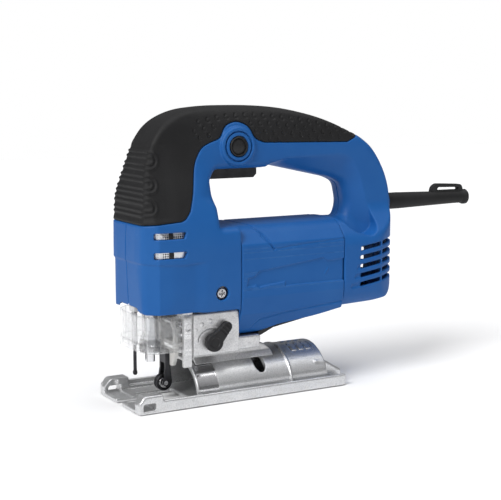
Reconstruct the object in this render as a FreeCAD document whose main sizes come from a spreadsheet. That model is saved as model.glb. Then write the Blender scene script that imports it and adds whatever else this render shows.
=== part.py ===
import FreeCAD, Part
import math
import os
import re
import Sketcher
from FreeCAD import Placement, Rotation, Vector

# Corded pendulum jigsaw: two half shells with a soft grip, a middle motor housing, a cast gear housing
# with plunger and pendulum, and a tilting cast base. The sole plane is z = 0, the origin is the middle of
# the sole, the blade end points to -X and the cord end to +X. Millimetres.

SIZES = {
    # base
    "base_length": 168, "base_width": 67, "sole_thickness": 3, "rail_height": 8.5, "rail_step": 5,
    "rail_width": 6.5, "prong_length": 18, "prong_height": 12.5, "slit_width": 9, "pocket_width": 26,
    "pocket_front": -66, "pocket_rear": -38, "dome_radius": 29.5, "dome_wall": 3.5, "dome_front": -37,
    "dome_rear": 70, "dome_rib_x": 38, "dome_rib_width": 3, "dome_rib_height": 0.8,
    "fence_slot_x": -76, "fence_slot_width": 9, "fence_slot_height": 5.5, "fence_slot_floor": 2,
    "arc_slot_width": 8.6, "arc_slot_half_span": 24.4, "arc_slot_low": 14.6, "tail_height": 9.5,
         "tail_half_width": 24,
    "access_length": 60, "access_width": 24,
    # bevel saddle, bolt and clamp
    "slide_gap": 0.3, "saddle_front": -33, "saddle_rear": 30, "saddle_top": 34.5, "saddle_half_top": 14,
    "saddle_half_low": 16.9, "saddle_low": 23.4, "saddle_shoulder": 16.5, "saddle_shoulder_z": 30.5,
    "bolt_x": 16, "bolt_radius": 3.8, "bolt_head_radius": 5, "bolt_head_height": 5, "bolt_end": 40,
    "shoe_length": 30, "shoe_thickness": 3.2, "shoe_half_width": 8,
    "running_gap": 0.04, "loose_gap": 0.4,
    # gear housing
    "gear_wall": 3.5, "gear_case_half": 29, "gear_case_front": -41, "gear_case_rear": -5,
    "gear_case_top": 64, "chamber_rear": -25.2, "chamber_wall": 1.5, "leg_front": -48, "leg_inner": 17,
         "leg_tip": 27,
    "foot_rear": 14, "foot_half": 25, "foot_top": 43.7, "lug_half": 10.5,
    "low_lug_floor": 64, "low_lug_top": 80, "high_lug_floor": 148, "high_lug_top": 156, "high_lug_half": 9,
    "bush_radius": 8, "plunger_x": -60, "plunger_radius": 5.5, "plunger_low": 46, "plunger_top": 160,
    "stroke_half": 10, "yoke_thickness": 4, "yoke_half_width": 18, "yoke_half_height": 7.5,
    "crank_roller_radius": 3.9, "crank_gap": 0.6,
    # gears
    "tooth_module": 1, "pinion_teeth": 7, "gear_teeth": 49, "gear_front": -44, "gear_width": 9,
    "gear_pin_radius": 4, "gear_hub_radius": 9,
    # motor
    "motor_z": 90, "shaft_radius": 4, "shaft_rear": 97, "core_radius": 17, "core_front": 10,
    "core_length": 42, "air_gap": 0.6, "stator_radius": 28.6, "coil_overhang": 5,
    "commutator_front": 58, "commutator_length": 13, "commutator_radius": 11, "fan_front": -2,
    "fan_length": 6, "fan_radius": 25, "bearing_radius": 11, "bearing_width": 7, "rear_bearing_x": 84,
    "brush_width": 6.4, "brush_length": 15,
    # barrel and shells
    "barrel_front": -5, "barrel_rear": 80, "barrel_top": 121.5, "body_half": 33, "shell_wall": 3.2,
    "grip_thickness": 1.8, "barrel_bore": 29.2, "seam_gap": 0.3, "body_front": -78, "body_rear": 132,
    "handle_top": 205, "boss_x": 0, "boss_z": 176,
    "boss_radius": 13.5, "boss_face": 20, "button_radius": 7,
    "screw_radius": 2, "screw_head_radius": 3.6,
    # trigger and switch
    "trigger_front": -17, "trigger_rear": 21, "trigger_low": 153.3, "trigger_half": 7.5,
    "trigger_pin_x": -13.5, "trigger_pin_z": 164.2, "pin_radius": 1.5, "switch_floor": 171,
    "switch_front": -16, "switch_rear": 24, "switch_top": 192, "switch_half": 7.5,
    # orbital lever
    "lever_x": -26.5, "lever_z": 43.5, "lever_hub_radius": 6.5, "lever_length": 18, "lever_width": 9,
    "lever_thickness": 5, "cam_shaft_radius": 3.5,
    # pendulum
    "pivot_x": -44, "pivot_z": 55, "pivot_radius": 2.5, "roller_x": -50.4, "roller_z": 12,
    "roller_radius": 6, "roller_width": 5, "cheek_thickness": 2.2, "roller_pin_radius": 1.5,
    # blade clamp
    "clamp_nub_low": 28, "clamp_nub_radius": 3.4, "collar_radius": 7.5, "collar_low": 34.5,
    "collar_height": 9, "blade_slot_width": 8.2, "blade_slot_thick": 1.8,
    # shield, guard, cord
    "shield_low": 38.5, "shield_top": 63.5, "shield_wall": 1.6, "shield_half": 28, "shield_front": -76.5,
    "guard_x": -71.5, "guard_radius": 1.2, "guard_low": 19.6, "guard_sleeve_low": 41,
    "guard_sleeve_radius": 2, "guard_sleeve_top": 63.8, "guard_top": 71,
    "cord_z": 129.7, "cord_radius": 3.6, "sleeve_radius": 6.3, "sleeve_end": 217.4, "sleeve_front": 118,
    "sleeve_end_radius": 5.9, "sleeve_neck_radius": 4.9,
}

os.makedirs("parts", exist_ok=True)
doc = FreeCAD.newDocument("jigsaw")
sheet = doc.addObject("Spreadsheet::Sheet", "dims")
for row, (alias, value) in enumerate(SIZES.items(), 1):
    sheet.set("A%d" % row, alias)
    sheet.set("B%d" % row, str(value))
    sheet.setAlias("B%d" % row, alias)
doc.recompute()

TURNS = {"x": Rotation(Vector(0, 1, 0), 90), "y": Rotation(Vector(1, 0, 0), -90), "z": Rotation()}
NODES = []


def size(alias):
    """The value of one cell, for shapes that are made by functions."""
    return sheet.get(alias)


def cells(expression):
    """The expression with each alias written as a cell of the sheet."""
    return re.sub(r"[a-z_]+", lambda m: "dims." + m.group() if m.group() in SIZES else m.group(),
                  str(expression))


def bind(thing, path, expression):
    thing.setExpression(path, cells(expression))


def place(thing, at, rotation=None):
    """Puts an object at three expressions."""
    if rotation is not None:
        thing.Placement = Placement(Vector(), rotation)
    for axis, expression in zip("xyz", at):
        bind(thing, "Placement.Base." + axis, expression)
    return thing


def box(name, sides, corner):
    """A box from its lowest corner."""
    thing = doc.addObject("Part::Box", name)
    for path, expression in zip(("Length", "Width", "Height"), sides):
        bind(thing, path, expression)
    return place(thing, corner)


def cylinder(name, radius, length, start, axis="z"):
    """A round bar that runs from start along a positive axis."""
    thing = doc.addObject("Part::Cylinder", name)
    bind(thing, "Radius", radius)
    bind(thing, "Height", length)
    return place(thing, start, TURNS[axis])


def fuse(name, *things):
    whole = doc.addObject("Part::MultiFuse", name)
    whole.Shapes = list(things)
    return whole


def cut(name, base, *tools):
    """The base without its tools."""
    whole = doc.addObject("Part::Cut", name)
    whole.Base = base
    whole.Tool = tools[0] if len(tools) == 1 else fuse(name + "_tools", *tools)
    return whole


def common(name, base, tool):
    whole = doc.addObject("Part::Common", name)
    whole.Base = base
    whole.Tool = tool
    return whole


def group(name, things):
    """Several separate solids as one object."""
    whole = doc.addObject("Part::Compound", name)
    whole.Links = things
    return whole


def node(thing, label):
    thing.Label = label
    NODES.append(thing)
    return thing


def origin_plane(body, role):
    return next(f for f in body.Origin.OriginFeatures if f.Role == role)


def outline_sketch(body, name, role, points, circles=()):
    """A closed outline whose corners, and round holes whose centres and radii, follow expressions."""
    sketch = body.newObject("Sketcher::SketchObject", name)
    sketch.AttachmentSupport = (origin_plane(body, role), [""])
    sketch.MapMode = "FlatFace"
    spots = [Vector(*(float(sheet.evalExpression(cells(e))) for e in point), 0) for point in points]
    count = len(spots)
    for i in range(count):
        sketch.addGeometry(Part.LineSegment(spots[i], spots[(i + 1) % count]))
    for i in range(count):
        sketch.addConstraint(Sketcher.Constraint("Coincident", i, 2, (i + 1) % count, 1))
    for i in range(count):
        corner_at(sketch, i, 1, points[i], spots[i], "corner%d" % i)
    for j, (x, y, radius) in enumerate(circles):
        centre = Vector(*(float(sheet.evalExpression(cells(e))) for e in (x, y)), 0)
        geometry = sketch.addGeometry(Part.Circle(centre, Vector(0, 0, 1), 1))
        corner_at(sketch, geometry, 3, (x, y), centre, "hole%d" % j)
        sketch.addConstraint(Sketcher.Constraint("Radius", geometry, 1))
        sketch.renameConstraint(sketch.ConstraintCount - 1, "radius%d" % j)
        bind(sketch, "Constraints.radius%d" % j, radius)
    return sketch


def corner_at(sketch, geometry, end, expressions, spot, name):
    """Ties one point of a sketch to two expressions."""
    for kind, expression, value in zip("XY", expressions, (spot.x, spot.y)):
        sketch.addConstraint(Sketcher.Constraint("Distance" + kind, -1, 1, geometry, end, value))
        sketch.renameConstraint(sketch.ConstraintCount - 1, name + kind)
        bind(sketch, "Constraints." + name + kind, expression)


def prism(name, role, points, length, circles=(), middle=True):
    """A body padded from an outline: role XZ_Plane gives (x, z) corners, YZ_Plane gives (y, z)."""
    body = doc.addObject("PartDesign::Body", name)
    sketch = outline_sketch(body, name + "_outline", role, points, circles)
    pad = body.newObject("PartDesign::Pad", name + "_pad")
    pad.Profile = sketch
    pad.Midplane = middle
    bind(pad, "Length", length)
    body.Tip = pad
    return body


def turned(name, points, axis, start):
    """A body revolved from (distance along the axis, radius) corners."""
    body = doc.addObject("PartDesign::Body", name)
    sketch = outline_sketch(body, name + "_outline", "XY_Plane", points)
    spin = body.newObject("PartDesign::Revolution", name + "_spin")
    spin.Profile = sketch
    spin.ReferenceAxis = (sketch, ["H_Axis"])
    spin.Angle = 360
    body.Tip = spin
    turns = {"x": Rotation(), "y": Rotation(Vector(0, 0, 1), 90), "z": Rotation(Vector(0, 1, 0), -90)}
    return place(body, start, turns[axis])


def made(name, shape):
    """A shape made by functions, as an object of the document."""
    thing = doc.addObject("Part::Feature", name)
    thing.Shape = shape
    return thing


def smooth_wire(points, to_vector):
    """A closed wire of straight runs and tangent arcs. A third number is the arc's own radius."""
    spots = [to_vector(*point[:2]) for point in points]
    count = len(spots)
    edges, ends = [], []
    for i, spot in enumerate(spots):
        before, after = spots[i - 1] - spot, spots[(i + 1) % count] - spot
        half = before.getAngle(after) / 2
        room = 0.45 * min(before.Length, after.Length)
        reach = room if len(points[i]) < 3 else min(points[i][2] / math.tan(half), room)
        into, out = spot + before.normalize() * reach, spot + after.normalize() * reach
        radius = reach * math.tan(half)
        centre = spot + (before + after).normalize() * math.hypot(reach, radius)
        middle = centre + (spot - centre).normalize() * radius
        ends.append((into, middle, out))
    for i, (into, middle, out) in enumerate(ends):
        edges.append(Part.Arc(into, middle, out).toShape())
        edges.append(Part.LineSegment(out, ends[(i + 1) % count][0]).toShape())
    return Part.Wire(edges)


def side(x, z):
    return Vector(x, 0, z)


def across(y, z):
    return Vector(0, y, z)


def plan(x, y):
    return Vector(x, y, 0)


def slab(points, to_vector, start, end, inset=0):
    """An outline, drawn in by inset, extruded from start to end along its normal axis."""
    face = Part.Face(smooth_wire(points, to_vector))
    if inset:
        face = Part.Face(face.makeOffset2D(-inset).Wires[0])
    way = to_vector(1, 0).cross(to_vector(0, 1))
    way = Vector(abs(way.x), abs(way.y), abs(way.z))
    face.translate(way * start)
    return face.extrude(way * (end - start))


def block(low, high):
    corner = Vector(*low)
    return Part.makeBox(*(Vector(*high) - corner), corner)


def rod(radius, start, along):
    return Part.makeCylinder(radius, along.Length, Vector(*start), along)


def build_base():
    """Cast base: a sole with side rails, two prongs with fence slots and a half-round dome."""
    half = "base_width / 2"
    inner = "base_width / 2 - rail_width"
    step = "base_width / 2 - rail_width / 2"
    right = [(half, 0), (half, "rail_height"), (step, "rail_step"), (inner, "rail_step"),
             (inner + " - 1", "sole_thickness")]
    left = [("-(" + y + ")", z) for y, z in reversed(right)]
    tray = prism("base_tray", "YZ_Plane", right + left, "base_length")
    prong = box("base_prongs", ("prong_length", "base_width", "prong_height"),
                ("-base_length / 2", "-base_width / 2", 0))
    dome_span = "dome_rear - dome_front"
    dome = cylinder("base_dome", "dome_radius", dome_span, ("dome_front", 0, 0), "x")
    rib = cylinder("base_rib", "dome_radius + dome_rib_height", "dome_rib_width", ("dome_rib_x", 0, 0), "x")
    tail = prism("base_tail", "XZ_Plane",
                 [("dome_rear - 6", 1), ("base_length / 2", 1), ("base_length / 2", "tail_height"),
                  ("dome_rear", "2 * tail_height"), ("dome_rear - 6", "2 * tail_height")],
                 "2 * tail_half_width")
    below = box("base_below", ("base_length", "2 * base_width", "base_width"),
                ("-base_length / 2", "-base_width", "-base_width"))
    inside = cylinder("base_inside", "dome_radius - dome_wall", "dome_rear - dome_front - dome_wall",
                      ("dome_front - 0.01", 0, 0), "x")
    floor = box("base_floor", (dome_span, "2 * dome_radius", "sole_thickness"),
                ("dome_front", "-dome_radius", 0))
    hollow = cut("base_hollow", inside, floor)
    slit = box("base_slit", ("prong_length + 1", "slit_width", "prong_height + 1"),
               ("-base_length / 2 - 0.5", "-slit_width / 2", -0.5))
    pocket = box("base_pocket", ("pocket_rear - pocket_front", "pocket_width", "prong_height + 1"),
                 ("pocket_front", "-pocket_width / 2", -0.5))
    fence = box("base_fence_slot", ("fence_slot_width", "base_width + 2", "fence_slot_height"),
                ("fence_slot_x - fence_slot_width / 2", "-base_width / 2 - 1", "fence_slot_floor"))
    arc_slot = box("base_arc_slot", ("arc_slot_width", "2 * arc_slot_half_span", "dome_radius"),
                   ("bolt_x - arc_slot_width / 2", "-arc_slot_half_span", "arc_slot_low"))
    access = box("base_access", ("access_length", "access_width", "sole_thickness + 2"),
                 ("bolt_x - access_length / 2", "-access_width / 2", -1))
    whole = fuse("base_whole", tray, prong, dome, rib, tail)
    node(cut("base_cut", whole, below, hollow, slit, pocket, fence, arc_slot, access), "base_plate")


def build_bevel_clamp():
    """The saddle that the dome slides in, the bolt through the dome's slot and the shoe under it."""
    inner = "dome_radius + slide_gap"
    corners = [("saddle_half_low", "saddle_low"), ("saddle_shoulder", "saddle_shoulder_z"),
               ("saddle_half_top", "saddle_top")]
    outline = [("-(" + y + ")", z) for y, z in corners] + corners[::-1]
    span = "saddle_rear - saddle_front"
    bar = prism("saddle_bar", "YZ_Plane", outline, span)
    place(bar, ("(saddle_rear + saddle_front) / 2", 0, 0))
    groove = cylinder("saddle_groove", inner, span + " + 2", ("saddle_front - 1", 0, 0), "x")
    hole = cylinder("saddle_hole", "bolt_radius + loose_gap", 30, ("bolt_x", 0, 20))
    node(cut("saddle", bar, groove, hole), "bevel_bracket")
    shoe_outer = "dome_radius - dome_wall - slide_gap"
    start = "bolt_x - shoe_length / 2"
    ring = cut("shoe_ring", cylinder("shoe_outer", shoe_outer, "shoe_length", (start, 0, 0), "x"),
               cylinder("shoe_inner", shoe_outer + " - shoe_thickness", "shoe_length + 2",
                        (start + " - 1", 0, 0), "x"))
    slice_box = box("shoe_slice", ("shoe_length", "2 * shoe_half_width", "dome_radius"),
                    (start, "-shoe_half_width", 5))
    shoe = common("shoe_common", ring, slice_box)
    node(cut("shoe", shoe, cylinder("shoe_hole", "bolt_radius + loose_gap", 30, ("bolt_x", 0, 10))),
         "bevel_clamp_shoe")
    seat = "dome_radius - dome_wall - slide_gap - shoe_thickness - 1"
    head = cylinder("bolt_head", "bolt_head_radius", "bolt_head_height",
                    ("bolt_x", 0, seat + " - bolt_head_height"))
    shank = cylinder("bolt_shank", "bolt_radius", "bolt_end - (" + seat + ")", ("bolt_x", 0, seat))
    key = cylinder("bolt_key", "bolt_head_radius / 2", "bolt_head_height",
                   ("bolt_x", 0, seat + " - 1.4 * bolt_head_height"))
    node(cut("bolt", fuse("bolt_whole", head, shank), key), "base_bolt")


def build_gear_housing():
    """Casting that carries plunger bushes, gear pin, front motor bearing, pendulum pivot and foot."""
    half, front, rear, wall = (size(n) for n in ("gear_case_half", "gear_case_front", "gear_case_rear",
                                                 "gear_wall"))
    low, top, leg = size("saddle_top"), size("gear_case_top"), size("leg_front")
    motor_z, gear_z = size("motor_z"), gear_axis()
    chamber = gear_outer() + 1
    chamber_front, chamber_rear = size("gear_front") - 1, size("chamber_rear")
    at = (chamber_front, 0, gear_z)
    body = block((front, -half, low), (rear, half, top))
    body = body.fuse(block((leg, -half, size("low_lug_floor")), (front, half, size("low_lug_top"))))
    for sign in (-1, 1):
        tip = [(sign * half, size("leg_tip")), (sign * (half - 4), size("leg_tip")),
               (sign * size("leg_inner"), size("leg_tip") + 7), (sign * size("leg_inner"), top + 1),
               (sign * half, top + 1)]
        face = Part.Face(Part.makePolygon([across(*p) for p in tip + tip[:1]]))
        face.translate(Vector(leg, 0, 0))
        body = body.fuse(face.extrude(Vector(front - leg, 0, 0)))
    body = body.fuse(rod(chamber + size("chamber_wall"), at, Vector(chamber_rear - chamber_front, 0, 0)))
    body = body.fuse(block((rear - 7, -chamber - 1, top - 1), (rear, chamber + 1, gear_z - 9)))
    for sign in (-1, 1):
        web = block((leg, min(20 * sign, 26 * sign), top - 1),
                    (rear, max(20 * sign, 26 * sign), gear_z - 14))
        body = body.fuse(web)
    lug = size("lug_half")
    nose = size("plunger_x") - lug
    body = body.fuse(block((nose, -lug, size("low_lug_floor")), (leg + 1, lug, size("low_lug_top"))))
    upper = size("high_lug_half")
    body = body.fuse(block((size("plunger_x") - upper, -upper, size("high_lug_floor") - 8),
                           (chamber_rear - 4, upper, size("high_lug_top"))))
    guard = size("guard_radius")
    body = body.fuse(block((size("guard_x") - guard - 1.2, -4, size("low_lug_floor")),
                           (nose + 1, 4, size("low_lug_floor") + 5)))
    body = body.fuse(block((rear - 1, -size("foot_half"), low), (size("foot_rear"), size("foot_half"),
                                                                 size("foot_top"))))
    body = body.fuse(block((size("foot_rear") - 1, -9, low),
                           (size("bolt_x") + 8, 9, size("bolt_end") + 1.6)))
    body = body.cut(rod(chamber, (chamber_front - 5, 0, gear_z),
                        Vector(chamber_rear - chamber_front, 0, 0)))
    body = body.cut(block((front - 9, -half + wall, low - 20), (rear - 8, half - wall, top - 3.5)))
    body = body.cut(block((leg - 1, -size("leg_inner"), low - 20), (front + 1, size("leg_inner"), top)))
    body = body.cut(block((front + 0.5, -12, top - 4), (rear - 7, 12, motor_z + 4)))
    body = body.cut(block((chamber_front - 1, -7, motor_z - 7), (rear - 7, 7, motor_z + 6)))
    bush = size("bush_radius")
    plunger = (size("plunger_x"), 0, size("low_lug_floor") - 1)
    body = body.cut(rod(bush, plunger, Vector(0, 0, 100)))
    opening = size("yoke_half_width") + 2
    body = body.cut(block((nose - 1, -opening, size("low_lug_top")),
                          (size("gear_front") + 0.5, opening, size("high_lug_floor"))))
    body = body.cut(rod(size("gear_pin_radius"), (chamber_rear - 8, 0, gear_z), Vector(9, 0, 0)))
    body = body.cut(rod(size("bearing_radius"), (rear - 8, 0, motor_z), Vector(9, 0, 0)))
    body = body.cut(rod(size("screw_radius"), (CASE_SCREW[0], -26.5, CASE_SCREW[1]), Vector(0, 53, 0)))
    body = body.cut(rod(guard, (size("guard_x"), 0, 60), Vector(0, 0, 20)))
    body = body.cut(rod(size("cam_shaft_radius") + size("running_gap"),
                        (size("lever_x"), -half - 1, size("lever_z")), Vector(0, wall + 2, 0)))
    body = body.cut(rod(size("pivot_radius"), (size("pivot_x"), -half - 1, size("pivot_z")),
                        Vector(0, 2 * half + 2, 0)))
    body = body.cut(rod(size("bolt_radius"), (size("bolt_x"), 0, low - 1),
                        Vector(0, 0, size("bolt_end") - low + 1)))
    node(made("gear_casting", body.removeSplitter()), "gear_housing")


def gear_outer():
    return size("tooth_module") * (size("gear_teeth") / 2 + 1)


def gear_axis():
    """Height of the gear pin: one centre distance above the motor."""
    return size("motor_z") + size("tooth_module") * (size("gear_teeth") + size("pinion_teeth")) / 2


def toothed_disc(teeth, start, length, z, phase, bore=0.0):
    """A spur gear along X with slim tapered teeth. phase turns it by a share of one tooth."""
    pitch = size("tooth_module") * teeth / 2
    root, tip = pitch - 1.15 * size("tooth_module"), pitch + 0.9 * size("tooth_module")
    turn = 2 * math.pi / teeth
    half_root, half_tip = 0.24 * turn, 0.09 * turn
    points = []
    for i in range(int(teeth)):
        middle = turn * (i + phase) + math.pi / 2
        for radius, angle in ((root, -half_root), (tip, -half_tip), (tip, half_tip), (root, half_root)):
            points.append(Vector(start, radius * math.cos(middle + angle),
                                 z + radius * math.sin(middle + angle)))
    disc = Part.Face(Part.makePolygon(points + points[:1])).extrude(Vector(length, 0, 0))
    if bore:
        disc = disc.cut(rod(bore, (start - 20, 0, z), Vector(length + 60, 0, 0)))
    return disc


def build_drive():
    """Pinion shaft, drive gear with crank roller, and the gear pin pressed into the casting."""
    front, width = size("gear_front"), size("gear_width")
    gear_z, bore = gear_axis(), size("gear_pin_radius") + size("running_gap")
    teeth = int(size("gear_teeth"))
    gear = toothed_disc(teeth, front, width, gear_z, 0.5 if teeth % 2 == 0 else 0, bore)
    hub = rod(size("gear_hub_radius"), (front, 0, gear_z), Vector(width + 4, 0, 0))
    hub = hub.cut(rod(bore, (front - 1, 0, gear_z), Vector(width + 20, 0, 0)))
    crank = (front - 1, size("stroke_half"), gear_z)
    gear = gear.fuse(hub).cut(rod(2.5, crank, Vector(width - 1, 0, 0)))
    for i in range(5):
        angle = math.pi / 6 * (2 * i + 2)
        spot = (front - 1, 16.5 * math.cos(angle), gear_z + 16.5 * math.sin(angle))
        gear = gear.cut(rod(3, spot, Vector(width + 2, 0, 0)))
    node(made("gear_solid", gear.removeSplitter()), "drive_gear")
    node(turned("crank", [(0, 0), (0, "crank_roller_radius"), (3.8, "crank_roller_radius"), (3.8, 2.5),
                          ("gear_width", 2.5), ("gear_width", 0)], "x",
                ("gear_front - 4", "stroke_half",
                 "motor_z + tooth_module * (gear_teeth + pinion_teeth) / 2")),
         "crank_pin")
    node(turned("gear_axle",
                [(0, 0), (0, "gear_pin_radius"), ("chamber_rear - gear_front", "gear_pin_radius"),
                              ("chamber_rear - gear_front", 0)], "x",
                ("gear_front", 0, "motor_z + tooth_module * (gear_teeth + pinion_teeth) / 2")), "gear_pin")


def build_plunger():
    """Plunger with its slotted yoke, the two bushes, and the tool-free blade clamp."""
    x, radius = "plunger_x", "plunger_radius"
    stem = cylinder("plunger_stem", radius, "plunger_top - plunger_low", (x, 0, "plunger_low"))
    gear_z = "motor_z + tooth_module * (gear_teeth + pinion_teeth) / 2"
    back = "gear_front - 4 - crank_gap"
    plate = box("yoke_plate", ("yoke_thickness", "2 * yoke_half_width", "2 * yoke_half_height"),
                (back + " - yoke_thickness", "-yoke_half_width", gear_z + " - yoke_half_height"))
    bridge = box("yoke_bridge", ("-(plunger_x) + " + back, "8", "2 * yoke_half_height"),
                 (x, -4, gear_z + " - yoke_half_height"))
    slot = box("yoke_slot", ("yoke_thickness", "2 * (stroke_half + crank_roller_radius + 0.3)",
                             "2 * (crank_roller_radius + 0.1)"),
               (back + " - yoke_thickness + 2", "-(stroke_half + crank_roller_radius + 0.3)",
                gear_z + " - crank_roller_radius - 0.1"))
    node(cut("plunger_cut", fuse("plunger_whole", stem, plate, bridge), slot), "plunger")
    ring = [("0", radius + " + running_gap"), ("0", "bush_radius"),
            ("low_lug_top - low_lug_floor", "bush_radius"),
            ("low_lug_top - low_lug_floor", radius + " + running_gap")]
    node(turned("bush_low", ring, "z", (x, 0, "low_lug_floor")), "lower_bush")
    ring = [(0, radius + " + running_gap"), (0, "bush_radius"),
            ("high_lug_top - high_lug_floor", "bush_radius"),
            ("high_lug_top - high_lug_floor", radius + " + running_gap")]
    node(turned("bush_high", ring, "z", (x, 0, "high_lug_floor")), "upper_bush")
    nub = cylinder("clamp_nub", "clamp_nub_radius", "collar_low - clamp_nub_low", (x, 0, "clamp_nub_low"))
    neck = cylinder("clamp_neck", "plunger_radius", "plunger_low - collar_low", (x, 0, "collar_low"))
    flange = cylinder("clamp_flange", "collar_radius - 1", 1.6, (x, 0, "plunger_low - 1.6"))
    blade = box("clamp_slot", ("blade_slot_width", "blade_slot_thick", "plunger_low - clamp_nub_low - 3"),
                ("plunger_x - blade_slot_width / 2", "-blade_slot_thick / 2", "clamp_nub_low - 1"))
    node(cut("clamp_cut", fuse("clamp_whole", nub, neck, flange), blade), "blade_clamp")
    node(turned("collar",
                [(0, "plunger_radius + running_gap"), (0, "collar_radius - 0.8"), (0.8, "collar_radius"),
                           ("collar_height - 0.8", "collar_radius"),
                 ("collar_height", "collar_radius - 0.8"),
                           ("collar_height", "plunger_radius + running_gap")], "z",
                (x, 0, "collar_low + 0.3")),
         "clamp_collar")


def build_pendulum():
    """Stirrup and fork that swing on the pivot and press the guide roller against the blade."""
    x, z = size("pivot_x"), size("pivot_z")
    half, thick = size("roller_width") / 2, size("cheek_thickness")
    stirrup = Part.makePolygon([across(*p) for p in (
        (-13, z + 4), (-13, 33), (-8, 24.4), (8, 24.4), (13, 33), (13, z + 4), (9.5, z + 4), (9.5, 36),
        (-9.5, 36), (-9.5, z + 4), (-13, z + 4))])
    plate = Part.Face(stirrup)
    plate.translate(Vector(x - 3.4, 0, 0))
    yoke = plate.extrude(Vector(3.2, 0, 0))
    for sign in (-1, 1):
        ear = rod(5, (x, sign * 11.25 - 1.75, z), Vector(0, 3.5, 0))
        yoke = yoke.fuse(ear)
    bore = rod(size("pivot_radius") + size("running_gap"), (x, -20, z), Vector(0, 40, 0))
    heel = block((x - 1, -9.5, 38), (x + 9, 9.5, 41))
    node(made("stirrup", yoke.fuse(heel).cut(bore).removeSplitter()), "pendulum_lever")
    roller_x, roller_z = size("roller_x"), size("roller_z")
    fork = block((x - 6.6, -half - thick - 0.4, 26), (x - 3.4, half + thick + 0.4, 36))
    for sign in (-1, 1):
        inner = sign * (half + 0.4)
        arm = Part.makePolygon([Vector(px, inner, pz) for px, pz in (
            (x - 6.6, 36), (x - 3.4, 36), (x - 3.4, 24), (roller_x + 5.2, roller_z),
                                                                     (roller_x - 5.2, roller_z),
            (x - 6.6, 24), (x - 6.6, 36))])
        fork = fork.fuse(Part.Face(arm).extrude(Vector(0, sign * thick, 0)))
        start = (roller_x, min(inner, inner + sign * thick), roller_z)
        fork = fork.fuse(rod(5.2, start, Vector(0, thick, 0)))
    fork = fork.cut(rod(size("roller_pin_radius"), (roller_x, -20, roller_z), Vector(0, 40, 0)))
    node(made("fork", fork.removeSplitter()), "roller_fork")
    node(turned("roller",
                [(0, "roller_pin_radius + running_gap"), (0, "roller_radius - 0.6"), (0.6, "roller_radius"),
                           ("roller_width / 2 - 0.8", "roller_radius"),
                 ("roller_width / 2", "roller_radius - 0.8"),
                           ("roller_width / 2 + 0.8", "roller_radius"),
                 ("roller_width - 0.6", "roller_radius"),
                           ("roller_width", "roller_radius - 0.6"),
                 ("roller_width", "roller_pin_radius + running_gap")],
                "y", ("roller_x", "-roller_width / 2", "roller_z")), "guide_roller")
    node(turned("roller_axle",
                [(0, 0), (0, "roller_pin_radius"), ("roller_width + 2 * cheek_thickness + 0.8",
                                                                   "roller_pin_radius"),
                                ("roller_width + 2 * cheek_thickness + 0.8", 0)], "y",
                ("roller_x", "-roller_width / 2 - cheek_thickness - 0.4", "roller_z")), "roller_pin")
    node(turned("pivot", [(0, 0), (0, "pivot_radius"), ("2 * gear_case_half - 4", "pivot_radius"),
                          ("2 * gear_case_half - 4", 0)], "y",
                ("pivot_x", "-gear_case_half + 2", "pivot_z")), "pendulum_pivot_pin")


def build_orbital_lever():
    """Lever on the side plate and the flatted cam shaft that limits the pendulum."""
    half, x, z = size("gear_case_half"), size("lever_x"), size("lever_z")
    thick, hub = size("lever_thickness"), size("lever_hub_radius")
    face = -half - size("slide_gap")
    lever = rod(hub, (x, face - thick, z), Vector(0, thick, 0))
    arm = block((0, face - thick, -size("lever_width") / 2),
                (size("lever_length"), face, size("lever_width") / 2))
    arm.rotate(Vector(), Vector(0, 1, 0), -46)
    arm.translate(Vector(x, 0, z))
    lever = lever.fuse(arm).cut(rod(2.2, (x, face - 3, z), Vector(0, 4, 0)))
    node(made("lever", lever.removeSplitter()), "orbital_lever")
    shaft = rod(size("cam_shaft_radius"), (x, -half - 0.2, z), Vector(0, size("gear_wall") + 6, 0))
    stub = rod(2.2, (x, face - 3, z), Vector(0, 4, 0))
    cam = rod(4.4, (x, -half + size("gear_wall") + 0.5, z),
              Vector(0, 2 * half - 2 * size("gear_wall") - 4, 0))
    cam = cam.cut(block((x - 6, -half, z + 1.6), (x + 6, half, z + 6)))
    node(made("cam", shaft.fuse(stub).fuse(cam).removeSplitter()), "orbital_cam")


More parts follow.
